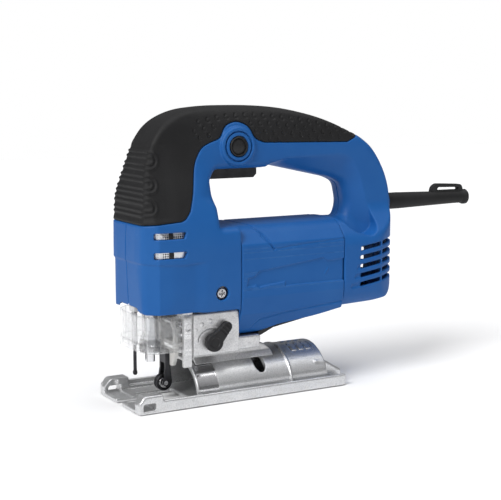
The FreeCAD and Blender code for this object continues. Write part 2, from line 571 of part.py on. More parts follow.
def build_motor():
    """Universal motor: armature on two bearings, stator with coils, brushes in their holders."""
    z, shaft = size("motor_z"), size("shaft_radius")
    front, width = size("gear_front"), size("gear_width")
    case_rear = size("gear_case_rear")
    pinion = toothed_disc(size("pinion_teeth"), front + 0.5, width + 2, z, 0)
    body = rod(shaft, (front + width + 2, 0, z), Vector(size("shaft_rear") - front - width - 2, 0, 0))
    body = body.fuse(pinion)
    node(made("shaft", body.removeSplitter()), "armature_shaft")
    core_front, core_length, core = size("core_front"), size("core_length"), size("core_radius")
    stack = rod(core, (core_front, 0, z), Vector(core_length, 0, 0)).cut(
        rod(shaft, (core_front - 1, 0, z), Vector(core_length + 2, 0, 0)))
    slots = 12
    for i in range(slots):
        slot = block((core_front - 1, -0.9, core - 6), (core_front + core_length + 1, 0.9, core + 1))
        slot.rotate(Vector(), Vector(1, 0, 0), 360 / slots * i)
        slot.translate(Vector(0, 0, z))
        stack = stack.cut(slot)
    node(made("stack", stack), "armature_core")
    node(turned("winding_front", [(0, "shaft_radius"), (0, "core_radius - 6"), (3, "core_radius - 2"),
                                  (6, "core_radius - 2"), (6, "shaft_radius")], "x",
                ("core_front - 6", 0, "motor_z")), "armature_winding_front")
    node(turned("winding_rear", [(0, "shaft_radius"), (0, "core_radius - 2"), (3, "core_radius - 2"),
                                 (5.5, "core_radius - 6"), (5.5, "shaft_radius")], "x",
                ("core_front + core_length", 0, "motor_z")), "armature_winding_rear")
    bars = rod(size("commutator_radius"), (size("commutator_front"), 0, z),
               Vector(size("commutator_length"), 0, 0))
    bars = bars.cut(rod(shaft, (size("commutator_front") - 1, 0, z), Vector(40, 0, 0)))
    bar_count = 24
    for i in range(bar_count):
        slot = block((size("commutator_front") + 1, -0.25, size("commutator_radius") - 1),
                     (size("commutator_front") + 20, 0.25, size("commutator_radius") + 1))
        slot.rotate(Vector(), Vector(1, 0, 0), 360 / bar_count * i)
        slot.translate(Vector(0, 0, z))
        bars = bars.cut(slot)
    node(made("bars", bars), "commutator")
    fan_front, fan_length, fan = size("fan_front"), size("fan_length"), size("fan_radius")
    wheel = rod(fan, (fan_front + fan_length - 1.5, 0, z), Vector(1.5, 0, 0))
    wheel = wheel.fuse(rod(8, (fan_front, 0, z), Vector(fan_length, 0, 0)))
    for i in range(11):
        blade = block((fan_front, -0.6, 7), (fan_front + fan_length, 0.6, fan))
        blade.rotate(Vector(), Vector(1, 0, 0), 360 / 11 * i)
        blade.translate(Vector(0, 0, z))
        wheel = wheel.fuse(blade)
    wheel = wheel.cut(rod(shaft, (fan_front - 1, 0, z), Vector(fan_length + 2, 0, 0)))
    node(made("wheel", wheel), "cooling_fan")
    for name, start in (("front_bearing", case_rear - 7), ("rear_bearing", size("rear_bearing_x"))):
        ring = rod(size("bearing_radius"), (start, 0, z), Vector(size("bearing_width"), 0, 0))
        ring = ring.cut(rod(shaft + size("running_gap"), (start - 1, 0, z), Vector(20, 0, 0)))
        for face in (start, start + size("bearing_width") - 0.6):
            groove = rod(size("bearing_radius") - 1.6, (face, 0, z), Vector(0.6, 0, 0))
            ring = ring.cut(groove.cut(rod(shaft + 2, (face - 1, 0, z), Vector(3, 0, 0))))
        node(made(name + "_solid", ring), name)
    bore = core + size("air_gap")
    stator_length = core_length
    stator = rod(size("stator_radius"), (core_front, 0, z), Vector(stator_length, 0, 0))
    stator = stator.cut(rod(bore, (core_front - 1, 0, z), Vector(stator_length + 2, 0, 0)))
    coils = []
    for sign in (-1, 1):
        window = block((core_front - 1, sign * 20 - 3.5, z - 13),
                       (core_front + stator_length + 1, sign * 20 + 3.5, z + 13))
        stator = stator.cut(window)
    for name, side_sign in (("upper", 1), ("lower", -1)):
        over = size("coil_overhang")
        frame = block((core_front - over, -24, 5), (core_front + stator_length + over, 24, 21))
        frame = frame.cut(block((core_front, -17, 0), (core_front + stator_length, 17, 30)))
        frame = frame.cut(rod(core + size("air_gap") + 0.2, (core_front - 20, 0, 0), Vector(100, 0, 0)))
        if side_sign < 0:
            frame.rotate(Vector(), Vector(1, 0, 0), 180)
        frame.translate(Vector(0, 0, z))
        coils.append(frame.common(rod(size("stator_radius") - 1.6, (-50, 0, z), Vector(200, 0, 0))))
    for coil in coils:
        stator = stator.cut(coil)
    node(made("stator", stator.removeSplitter()), "stator_core")
    node(made("coils", Part.makeCompound(coils)), "field_coils")
    middle = size("commutator_front") + size("commutator_length") / 2 + 0.5
    wide, reach = size("brush_width"), size("commutator_radius") + size("slide_gap")
    brushes, holders, springs = [], [], []
    for sign in (-1, 1):
        brush = block((middle - wide / 2, reach, z - 3),
                      (middle + wide / 2, reach + size("brush_length") - 4, z + 3))
        holder = block((middle - wide / 2 - 1.6, reach + 1.5, z - 4.6),
                       (middle + wide / 2 + 1.6, 28, z + 4.6))
        holder = holder.cut(block((middle - wide / 2 - 0.1, 0, z - 3.1),
                                  (middle + wide / 2 + 0.1, 26.8, z + 3.1)))
        spring = coil_spring(1.9, 0.35, 2.8, 5, (middle, reach + size("brush_length") - 3.3, z), "y")
        for kind, solid in ((brushes, brush), (holders, holder), (springs, spring)):
            kind.append(solid if sign > 0 else solid.mirror(Vector(), Vector(0, 1, 0)))
    node(made("brushes", Part.makeCompound(brushes)), "carbon_brushes")
    node(made("holders", Part.makeCompound(holders)), "brush_holders")
    node(made("brush_coils", Part.makeCompound(springs)), "brush_springs")


def coil_spring(radius, wire, length, turns, start, axis):
    """A round wire coil from start along an axis."""
    helix = Part.makeHelix(length / turns, length, radius)
    section = Part.Wire(Part.makeCircle(wire, Vector(radius, 0, 0), Vector(0, 1, 0)))
    spring = Part.Wire(helix).makePipeShell([section], True, True)
    spring.Placement = Placement(Vector(*start), TURNS[axis])
    return spring



ARCH = [(-76.6, 64.5, 6), (-78, 100), (-76.5, 131), (-73.5, 155), (-67, 177), (-56, 193), (-40, 201.5),
        (-16, 205), (15, 205), (42, 202), (73, 194.5), (104, 180.8), (114, 173.5), (121, 165), (128, 153),
        (132, 140), (133, 118), (132.5, 76), (125, 63), (112, 59.3), (78, 57.5), (-6, 57.5, 1),
        (-6, 64.5, 1)]
HOLE = [(-19.5, 121.5, 1), (-22, 153, 4), (-17, 160.5, 4), (24, 160.5, 3), (28.5, 162.6, 2), (55, 157),
        (85, 150.5), (94, 146), (97, 131), (94, 121.5, 1)]
NOSE_SIDE = [(-78.4, 14), (-76.4, 24), (-67, 31.4), (-46, 34.5), (100, 34.5), (114, 32), (127, 25),
             (133.4, 14)]
HEAD_SECTION = [(31, 56), (33, 74), (33, 112), (30.5, 128), (25.5, 147), (20, 162), (18, 176), (17, 190),
                (13, 200), (6, 205.5)]
REAR_SECTION = [(22, 56), (31, 64), (33, 74), (33, 108), (24, 119), (17.5, 128), (17, 150), (18, 176),
                (17, 190), (13, 200), (6, 205.5)]
GRIP = [(-90, 124.5, 1), (-62, 126.5), (-47, 127.5), (-42, 134, 8), (-38.5, 145), (-34, 166), (-28, 176),
        (-20, 179.5), (-13, 181.5), (-9.5, 190), (0, 193.5), (9.5, 190), (14, 181), (21, 178),
        (92, 176.8, 1),
        (100, 180.5, 1), (106, 190, 1), (106, 215, 1), (-90, 215, 1)]
SCREWS = [(-46, 186), (50, 187), (107, 160), (116, 70)]
CASE_SCREW = (-20, 77)


def mirrored(section):
    """Both sides of a section given as (half width, height)."""
    return [(-y, z) for y, z in section] + list(reversed(section))


def both_sides(corners):
    """A plan outline that is the same on both sides, from the corners of one side."""
    return [(x, -y) for x, y in corners] + [(x, y) for x, y in reversed(corners)]


def clamshell(inset):
    """Head, handle and rear cover as one solid, drawn in by inset all round."""
    wide = size("body_half") + 7
    profile = slab(ARCH, side, -wide, wide, inset)
    from_above = slab(both_sides(NOSE_SIDE), plan, 0, size("handle_top") + 10, inset)
    hole = slab(HOLE, side, -wide, wide, -inset)
    profile = profile.common(from_above).cut(hole)
    joint = -19.7
    head = slab(mirrored(HEAD_SECTION), across, size("body_front") - 5, joint, inset)
    rear = slab(mirrored(REAR_SECTION), across, joint, size("body_rear") + 5, inset)
    return profile.common(head).fuse(profile.common(rear))


def build_shells():
    """Left and right half shells, with the soft grip let into them."""
    wall, thick = size("shell_wall"), size("grip_thickness")
    outer, skin, inner = clamshell(0), clamshell(thick), clamshell(wall)
    wide, gap = size("body_half") + 7, size("seam_gap")
    barrel_gap = block((size("barrel_front") - gap, -wide, 30),
                       (size("barrel_rear") + gap, wide, size("barrel_top") + gap))
    mouth = slab(both_sides(NOSE_SIDE), plan, 50, 70,
                 wall).common(block((-100, -wide, 50), (size("barrel_front"), wide, 70)))
    region = slab(GRIP, side, -wide, wide)
    grip = outer.cut(skin).common(region)
    boss_at = (size("boss_x"), -size("boss_face"), size("boss_z"))
    boss = rod(size("boss_radius"), boss_at, Vector(0, 2 * size("boss_face"), 0))
    shell = outer.cut(inner).cut(barrel_gap).cut(mouth).cut(grip)
    core = block((size("boss_x") - 20, -14, size("boss_z") - 20),
                 (size("boss_x") + 20, 14, size("boss_z") + 20))
    shell = shell.fuse(boss.cut(core).cut(grip))
    posts = [rod(4.2, (x, -wide, z), Vector(0, 2 * wide, 0)) for x, z in SCREWS]
    for post in posts:
        shell = shell.fuse(post.common(inner))
    for sign in (-1, 1):
        post = rod(4.2, (CASE_SCREW[0], 26.2 * sign, CASE_SCREW[1]), Vector(0, 10 * sign, 0))
        shell = shell.fuse(post.common(inner))
        shell = shell.cut(rod(size("screw_radius"), (CASE_SCREW[0], 20 * sign, CASE_SCREW[1]),
                              Vector(0, 20 * sign, 0)))
        shell = shell.cut(rod(size("screw_head_radius") + 0.4, (CASE_SCREW[0], 30 * sign, CASE_SCREW[1]),
                              Vector(0, 10 * sign, 0)))
    cord = size("cord_z")
    collar = rod(size("sleeve_radius") + 4, (126, 0, cord), Vector(13.5, 0, 0))
    shell = shell.fuse(collar.cut(inner))
    shell = shell.cut(rod(size("sleeve_radius"), (100, 0, cord), Vector(60, 0, 0)))
    for x, z in SCREWS:
        shell = shell.cut(rod(size("screw_radius"), (x, -18, z), Vector(0, 60, 0)))
        shell = shell.cut(rod(size("screw_head_radius") + 0.4, (x, 12, z), Vector(0, 30, 0)))
    shell = shell.cut(openings())
    for name, sign in (("left_half_shell", -1), ("right_half_shell", 1)):
        side_box = block((-200, min(0, sign * wide), 0), (250, max(0, sign * wide), 300))
        half = shell.common(side_box)
        if sign < 0:
            half = half.cut(rod(size("button_radius") + size("slide_gap"),
                                (size("boss_x"), -30, size("boss_z")),
                                Vector(0, 25, 0)))
        node(made(name + "_solid", half), name)
    node(made("grip", grip), "soft_grip")


def openings():
    """Head windows, rear vents and the trigger slot, as one cutting solid."""
    tools = []
    for z in (118.5, 105.5):
        tools.append(block((-69, -40, z - 2.3), (-46, 40, z + 2.3)))
    for i in range(5):
        slot = block((0, -40, -1.4), (24, 40, 1.4))
        slot.rotate(Vector(), Vector(0, 1, 0), -8)
        slot.translate(Vector(95, 0, 99.5 - 6.6 * i))
        tools.append(slot)
    half = size("trigger_half") + 0.5
    tools.append(block((size("trigger_front") - 1, -half, 145), (size("trigger_rear") + 1, half, 168)))
    tools.append(rod(size("pin_radius"), (size("trigger_pin_x"), -11, size("trigger_pin_z")),
                     Vector(0, 22, 0)))
    return tools[0].multiFuse(tools[1:])


def build_barrel():
    """Middle motor housing with the round bore, its lobe over the foot, and the dark under cover."""
    front, rear, top = size("barrel_front"), size("barrel_rear"), size("barrel_top")
    section = [(22, 43), (31, 60), (33, 72), (33, 109), (23, top), (0, top)]
    section = [(-y, z) for y, z in section[:-1]] + [(y, z) for y, z in reversed(section[:-1])]
    profile = [(front, top), (rear, top), (rear, 57.5), (59, 53.2), (28, 49.5), (15, 45), (front, 44)]
    body = slab(section, across, front, rear)
    cover_line = Part.Face(Part.makePolygon([side(*p) for p in profile + profile[:1]]))
    cover_line.translate(Vector(0, -50, 0))
    body = body.common(cover_line.extrude(Vector(0, 100, 0)))
    body = body.cut(rod(size("barrel_bore"), (front - 1, 0, size("motor_z")),
                        Vector(rear - front + 2, 0, 0)))
    body = body.cut(block((front - 1, -19, 47), (12, 19, 66)))
    spokes = block((78, -30, size("motor_z") - 5), (rear + 12, 30, size("motor_z") + 5))
    spokes = spokes.common(rod(size("barrel_bore") + 0.5, (70, 0, size("motor_z")), Vector(30, 0, 0)))
    spokes = spokes.fuse(rod(size("bearing_radius") + 2.4, (78, 0, size("motor_z")), Vector(14, 0, 0)))
    spokes = spokes.cut(rod(size("bearing_radius"), (size("rear_bearing_x"), 0, size("motor_z")),
                            Vector(20, 0, 0)))
    spokes = spokes.cut(rod(size("shaft_radius") + 2, (70, 0, size("motor_z")), Vector(30, 0, 0)))
    body = body.fuse(spokes)
    node(made("barrel", body.removeSplitter()), "motor_housing")
    strip = [(14.8, 44.7), (28, 49.2), (58.7, 52.9), (58.7, 51.8), (27, 46.6), (17, 42.2), (14.8, 42.2)]
    face = Part.Face(Part.makePolygon([side(*p) for p in strip + strip[:1]]))
    face.translate(Vector(0, -21, 0))
    node(made("strip", face.extrude(Vector(0, 42, 0))), "under_cover")


def build_controls():
    """Trigger, its pin and spring, the switch, and the lock button."""
    x, z = "trigger_pin_x", "trigger_pin_z"
    body = prism("trigger_body", "XZ_Plane",
                 [("trigger_front", "trigger_low + 1.5"), ("trigger_front + 1.5", "trigger_low"),
                  ("trigger_rear - 2.5", "trigger_low"), ("trigger_rear", "trigger_low + 2.5"),
                  ("trigger_rear", 162.5), ("trigger_rear - 2", 165.4), ("trigger_front", 167.4)],
                 "2 * trigger_half", [(x, z, "pin_radius + running_gap")])
    peg = cylinder("trigger_peg", 2, 8, (12, 0, 163))
    well = cylinder("trigger_well", 3, 6, (2, 0, 161.5))
    node(cut("trigger_cut", fuse("trigger_whole", body, peg), well), "trigger")
    node(turned("trigger_axle", [(0, 0), (0, "pin_radius"), (21, "pin_radius"), (21, 0)], "y",
                (x, -10.5, z)),
         "trigger_pin")
    node(made("trigger_coil", coil_spring(2.2, 0.35, 8.2, 6, (2, 0, 162), "z")), "trigger_spring")
    case = block((size("switch_front"), -size("switch_half"), size("switch_floor")),
                 (size("switch_rear"), size("switch_half"), size("switch_top")))
    case = case.cut(rod(3, (12, 0, 160), Vector(0, 0, 16.5)))
    case = case.cut(rod(3.2, (2, 0, 160), Vector(0, 0, 14)))
    case = case.cut(rod(2.6, (size("boss_x"), -20, size("boss_z") + 2), Vector(0, 18, 0)))
    for end in (size("switch_front") + 3, size("switch_rear") - 5):
        case = case.fuse(block((end, -5, size("switch_top")), (end + 2, 5, size("switch_top") + 3)))
    node(made("switch_case", case), "switch")
    button = rod(size("button_radius"), (size("boss_x"), -size("boss_face") - 0.8, size("boss_z")),
                 Vector(0, 7, 0))
    stem = rod(2, (size("boss_x"), -size("boss_face") + 5, size("boss_z") + 2), Vector(0, 9.5, 0))
    node(made("button", button.fuse(stem)), "lock_button")
    node(made("button_coil", coil_spring(4.4, 0.35, 2.2, 3, (size("boss_x"), -13.4, size("boss_z")), "y")),
         "lock_button_spring")


def build_shield_and_guard():
    """Clear chip shield round the blade, wire finger guard and the pair of air grilles."""
    front, half, wall = size("shield_front"), size("shield_half"), size("shield_wall")
    outline = [(front, -13), (front + 3, -22), (front + 9, -half), (-49, -half, 0.5), (-49, half, 0.5),
               (front + 9, half), (front + 3, 22), (front, 13)]
    outer = slab(outline, plan, size("shield_low"), size("shield_top"))
    inner = slab(outline, plan, size("shield_low") - 5, size("shield_top") + 5, wall)
    back = block((-49 - 3, -half + wall, 0), (-40, half - wall, 100))
    node(made("shield", outer.cut(inner).cut(back)), "chip_shield")
    low, sleeve_low, at = size("guard_low"), size("guard_sleeve_low"), size("guard_x")
    rod_shape = rod(size("guard_radius"), (at, 0, low), Vector(0, 0, size("guard_top") - low))
    sleeve = rod(size("guard_sleeve_radius"), (at, 0, sleeve_low),
                 Vector(0, 0, size("guard_sleeve_top") - sleeve_low))
    node(made("guard", rod_shape.fuse(sleeve)), "wire_guard")
    grilles = []
    for sign in (-1, 1):
        sheet_metal = block((-65.5, sign * 27.2 - 0.4, 100), (-45.3, sign * 27.2 + 0.4, 124))
        grilles.append(sheet_metal)
    node(made("grilles", Part.makeCompound(grilles)), "air_grilles")


def build_cord_end():
    """Tapered cord sleeve with a loop for the key, the cord clamp inside, and the screws."""
    z, radius, end = size("cord_z"), size("sleeve_radius"), size("sleeve_end")
    start = size("sleeve_front")
    profile = [(start, 0), (start, radius + 3), (start + 3, radius + 3), (start + 3, radius), (150, radius),
               (end - 12, size("sleeve_neck_radius")), (end - 5, size("sleeve_neck_radius")),
               (end - 2.5, size("sleeve_end_radius")), (end, size("sleeve_end_radius")), (end, 0)]
    face = Part.Face(Part.makePolygon([side(*p) for p in profile + profile[:1]]))
    sleeve = face.revolve(Vector(), Vector(1, 0, 0), 360)
    loop = Part.Face(smooth_wire([(182, 0), (184, 9), (188, 11.5), (212, 10.2), (214, 7), (212.5, 0)],
                                 side))
    loop.translate(Vector(0, -2.2, 0))
    loop = loop.extrude(Vector(0, 4.4, 0))
    eye = Part.Face(smooth_wire([(188, 6.2), (189, 8.6), (209.5, 7.9), (210, 6)], side))
    eye.translate(Vector(0, -5, 0))
    sleeve = sleeve.fuse(loop).cut(eye.extrude(Vector(0, 10, 0)))
    sleeve = sleeve.cut(rod(size("cord_radius"), (start - 1, 0, 0), Vector(end - start + 2, 0, 0)))
    sleeve.translate(Vector(0, 0, z))
    node(made("sleeve", sleeve.removeSplitter()), "cord_sleeve")
    clamp = block((108, -9, z + 4), (114, 9, z + 7.5))
    clamp = clamp.cut(rod(1.6, (111, -6.2, z), Vector(0, 0, 10))).cut(rod(1.6, (111, 6.2, z),
                                                                          Vector(0, 0, 10)))
    node(made("clamp_bar", clamp), "cord_clamp")
    bars = []
    for y in (-6.2, 6.2):
        bar = rod(1.55, (111, y, z - 6),
                  Vector(0, 0, 13.5)).fuse(rod(3, (111, y, z + 7.5), Vector(0, 0, 2.2)))
        bars.append(bar)
    node(made("clamp_bars", Part.makeCompound(bars)), "cord_clamp_screws")
    node(made("terminals", block((101.5, -7, 140.2), (112, 7, 151))), "terminal_block")
    node(made("filter_can", block((95, -9, 98), (107, 9, 109.4))), "suppression_capacitor")
    screws = []
    for x, screw_z in SCREWS:
        head = rod(size("screw_head_radius"), (x, 12.0, screw_z), Vector(0, 2.6, 0))
        shank = rod(size("screw_radius") - 0.05, (x, -8, screw_z), Vector(0, 20, 0))
        screws.append(head.fuse(shank))
    for sign in (-1, 1):
        head = rod(size("screw_head_radius"), (CASE_SCREW[0], 30 * sign, CASE_SCREW[1]),
                   Vector(0, 2 * sign, 0))
        shank = rod(size("screw_radius") - 0.05, (CASE_SCREW[0], 21 * sign, CASE_SCREW[1]),
                    Vector(0, 9 * sign, 0))
        screws.append(head.fuse(shank))
    node(made("screws", Part.makeCompound(screws)), "housing_screws")


build_base()
build_bevel_clamp()
build_gear_housing()
build_drive()
build_plunger()
build_pendulum()
build_orbital_lever()
build_motor()
build_shells()
build_barrel()
build_controls()
build_shield_and_guard()
build_cord_end()
doc.recompute()

for thing in doc.Objects:
    if {"Invalid", "Error"} & set(thing.State):
        raise SystemExit("%s failed: %s" % (thing.Label, thing.State))
for thing in NODES:
    if thing.Shape.isNull() or not thing.Shape.isValid() or not thing.Shape.Solids:
        raise SystemExit("%s has no valid shape" % thing.Label)
for thing in NODES:
    thing.Shape.exportStep("parts/%s.step" % thing.Label)
    print("%-24s solids %d volume %.0f" % (thing.Label, len(thing.Shape.Solids), thing.Shape.Volume))
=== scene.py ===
import math

import bpy
import numpy as np
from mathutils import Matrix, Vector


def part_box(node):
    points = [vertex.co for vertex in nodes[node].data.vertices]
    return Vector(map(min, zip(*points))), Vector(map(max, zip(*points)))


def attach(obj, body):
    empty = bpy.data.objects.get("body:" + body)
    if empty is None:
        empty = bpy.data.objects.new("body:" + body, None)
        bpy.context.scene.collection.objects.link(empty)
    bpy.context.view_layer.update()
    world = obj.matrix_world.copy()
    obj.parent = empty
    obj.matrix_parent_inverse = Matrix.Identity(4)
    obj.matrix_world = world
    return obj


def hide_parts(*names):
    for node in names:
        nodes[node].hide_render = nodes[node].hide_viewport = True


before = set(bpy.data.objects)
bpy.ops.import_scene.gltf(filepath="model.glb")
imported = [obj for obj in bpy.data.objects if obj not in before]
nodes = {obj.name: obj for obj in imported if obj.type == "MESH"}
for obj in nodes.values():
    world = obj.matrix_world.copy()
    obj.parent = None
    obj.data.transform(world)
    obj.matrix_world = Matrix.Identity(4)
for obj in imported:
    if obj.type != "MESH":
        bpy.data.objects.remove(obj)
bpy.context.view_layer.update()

import openvdb
from mathutils import Vector

millimetre = 0.001       # shapes are worked out in millimetres, and meshes are in metres


def spot(node):
    # lowest corner, highest corner and middle of a CAD node, in millimetres
    low, high = (np.array(corner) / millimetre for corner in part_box(node))
    return low, high, (low + high) / 2


# Shader maths: a Wire wraps a socket, so that an expression on values adds its Math nodes.

class Wire:
    def __init__(self, look, socket):
        self.look, self.socket = look, socket

    def maths(self, operation, first, second):
        return self.look.node("ShaderNodeMath", {"operation": operation}, {0: first, 1: second})

    def __add__(self, other):
        return self.maths("ADD", self, other)

    def __radd__(self, other):
        return self.maths("ADD", other, self)

    def __sub__(self, other):
        return self.maths("SUBTRACT", self, other)

    def __rsub__(self, other):
        return self.maths("SUBTRACT", other, self)

    def __mul__(self, other):
        return self.maths("MULTIPLY", self, other)

    def __rmul__(self, other):
        return self.maths("MULTIPLY", other, self)


class Look:
    # one material: constants go on the shader's own sockets, the rest is fed by wires
    def __init__(self, name, **constants):
        self.material = bpy.data.materials.new(name)
        self.material.use_nodes = True
        self.tree = self.material.node_tree
        self.shader = self.tree.nodes["Principled BSDF"]
        for key, value in constants.items():
            self.shader.inputs[key.replace("_", " ")].default_value = value

    def node(self, kind, settings=None, sockets=None, output=0):
        made = self.tree.nodes.new(kind)
        for key, value in (settings or {}).items():
            if key == "stops":
                while len(made.color_ramp.elements) < len(value):
                    made.color_ramp.elements.new(1)
                for element, (position, colour) in zip(made.color_ramp.elements, value):
                    element.position, element.color = position, colour
            else:
                setattr(made, key, value)
        for key, value in (sockets or {}).items():
            if isinstance(value, Wire):
                self.tree.links.new(value.socket, made.inputs[key])
            else:
                made.inputs[key].default_value = value
        return Wire(self, made.outputs[output])

    def feed(self, socket, wire):
        self.tree.links.new(wire.socket, self.shader.inputs[socket])

    def place(self):
        return self.node("ShaderNodeTexCoord", output="Object")

    def noise(self, scale, detail=3, roughness=0.55, distortion=0, where=None):
        sockets = {"Vector": where or self.place(), "Scale": scale, "Detail": detail,
                   "Roughness": roughness, "Distortion": distortion}
        return self.node("ShaderNodeTexNoise", None, sockets, "Fac")

    def spread(self, wire, low, high, toLow=0, toHigh=1):
        sockets = {"Value": wire, "From Min": low, "From Max": high, "To Min": toLow, "To Max": toHigh}
        return self.node("ShaderNodeMapRange", {"clamp": True}, sockets)

    def blend(self, amount, first, second):
        return self.node("ShaderNodeMix", {"data_type": "RGBA"}, {0: amount, 6: first, 7: second}, 2)

    def edges(self, low=0.505, high=0.56):
        # 1 on sharp outer edges, 0 on flats
        return self.spread(self.node("ShaderNodeNewGeometry", output="Pointiness"), low, high)

    def bump(self, height, distance, strength=1.0, under=None):
        sockets = {"Height": height, "Distance": distance, "Strength": strength}
        if under:
            sockets["Normal"] = under
        return self.node("ShaderNodeBump", None, sockets)


def moulded(name, colour, paler, grain=1900, depth=0.00006, rough=0.42, edge=0.35, coat=0.0):
    # textured moulding: fine spark-eroded grain, faint clouds, and edges painted paler, part wear and part
    # painted highlight
    look = Look(name, Coat_Weight=coat, IOR=1.48, Specular_IOR_Level=0.26)
    clouds = look.noise(26, 4)
    smears = look.noise(90, 5, 0.7, 0.6)
    fine = look.noise(grain, 2, 0.5)
    # paler edges: part wear, part painted highlight where edges catch the light
    rubbedAndHighlitEdges = look.edges() * look.spread(look.noise(160, 4), 0.35, 0.7)
    tint = look.spread(clouds, 0.3, 0.7) * 0.22 + rubbedAndHighlitEdges * edge
    look.feed("Base Color", look.blend(tint, colour, paler))
    look.feed("Roughness", rough + (smears - 0.5) * 0.16 + (fine - 0.5) * 0.1 - rubbedAndHighlitEdges * 0.08)
    look.feed("Normal", look.bump(fine, depth, 0.45))
    return look.material


def cast(name, colour, darker, grain=900, rough=0.42, metal=0.82):
    # die casting: bead-blasted speckle, soft flow marks, and edges painted brighter, part wear and part
    # painted highlight
    look = Look(name)
    speck = look.noise(grain, 3, 0.65)
    flow = look.noise(60, 5, 0.6, 1.2)
    pits = look.spread(look.noise(grain * 0.5, 2), 0.56, 0.7)
    # brighter edges: part wear, part painted highlight where edges catch the light
    wornAndHighlitEdges = look.edges(0.505, 0.56)
    shade = look.spread(speck, 0.3, 0.72) * 0.55 + look.spread(flow, 0.3, 0.75) * 0.3
    shade = shade + pits * 0.2 - wornAndHighlitEdges * 0.5
    look.feed("Base Color", look.blend(shade, colour, darker))
    look.feed("Roughness", rough + (speck - 0.5) * 0.3 - wornAndHighlitEdges * 0.14 + (flow - 0.5) * 0.1)
    look.feed("Metallic", metal - pits * 0.25)
    look.feed("Normal", look.bump(speck, 0.00012, 0.5, look.bump(flow, 0.0003, 0.25)))
    return look.material


def machined(name, colour, darker, rough=0.26, along=(900, 40, 900), scratch=0.00002):
    # turned or ground metal: drawn-out fine lines, faint stains, and edges painted brighter, part wear and
    # part painted highlight
    look = Look(name, Metallic=1.0)
    stretched = look.node("ShaderNodeMapping", None, {"Vector": look.place(), "Scale": along})
    lines = look.noise(1, 4, 0.6, where=stretched)
    stain = look.noise(120, 4)
    # brighter edges: part wear, part painted highlight where edges catch the light
    wornAndHighlitEdges = look.edges()
    look.feed("Base Color", look.blend(look.spread(stain, 0.35, 0.7) * 0.6 - wornAndHighlitEdges * 0.4, colour, darker))
    look.feed("Roughness", rough + (lines - 0.5) * 0.22 + (stain - 0.5) * 0.12)
    look.feed("Normal", look.bump(lines, scratch, 0.35))
    return look.material


def clearPlastic(name):
    # clear shield: faint haze, fine swirl scratches and more opaque edges
    look = Look(name, IOR=1.5, Transmission_Weight=0.86, Specular_IOR_Level=0.7)
    haze = look.noise(70, 5, 0.65, 0.8)
    swirl = look.noise(700, 3, 0.6, 2.0)
    cloudy = look.spread(haze, 0.4, 0.75)
    look.feed("Base Color", look.blend(cloudy, (0.96, 0.97, 0.98, 1), (0.8, 0.83, 0.86, 1)))
    look.feed("Roughness", 0.06 + look.spread(haze, 0.45, 0.8) * 0.18 + (swirl - 0.5) * 0.06)
    look.feed("Alpha", 0.26 + look.spread(haze, 0.4, 0.8) * 0.16 + look.edges(0.502, 0.53) * 0.4)
    look.feed("Normal", look.bump(swirl, 0.00002, 0.25, look.bump(haze, 0.0008, 0.25)))
    return look.material


def grilleMesh(name):
    # punched sheet: staggered round holes drawn by distance from the nearest hole centre; the holes are
    # painted near-black as painted shade of the dark inside seen through them
    look = Look(name, Metallic=1.0)
    cells = look.node("ShaderNodeTexVoronoi", {"feature": "F1"}, {"Vector": look.place(), "Scale": 620,
                      "Randomness": 0.0}, "Distance")
    solid = look.spread(cells, 0.28, 0.36)
    haze = look.noise(300, 3)
    # near-black holes: painted shade standing in for the dark inside seen through the sheet
    look.feed("Base Color", look.blend(solid, (0.02, 0.02, 0.022, 1), (0.82, 0.83, 0.85, 1)))
    look.feed("Roughness", 0.22 + haze * 0.2)
    look.feed("Normal", look.bump(solid, 0.0003, 0.7))
    return look.material


def copperWire(name):
    # enamelled copper laid in turns
    look = Look(name, Metallic=0.9, Coat_Weight=0.5)
    turns = look.node("ShaderNodeTexWave", {"wave_type": "RINGS", "rings_direction": "X"},
                      {"Vector": look.place(), "Scale": 260, "Distortion": 3.0, "Detail": 2.0}, "Fac")
    stain = look.noise(150, 4)
    aged = look.spread(stain, 0.35, 0.7)
    look.feed("Base Color", look.blend(aged, (0.62, 0.27, 0.1, 1), (0.36, 0.12, 0.05, 1)))
    look.feed("Roughness", 0.28 + stain * 0.2)
    look.feed("Normal", look.bump(turns, 0.0004, 0.8))
    return look.material


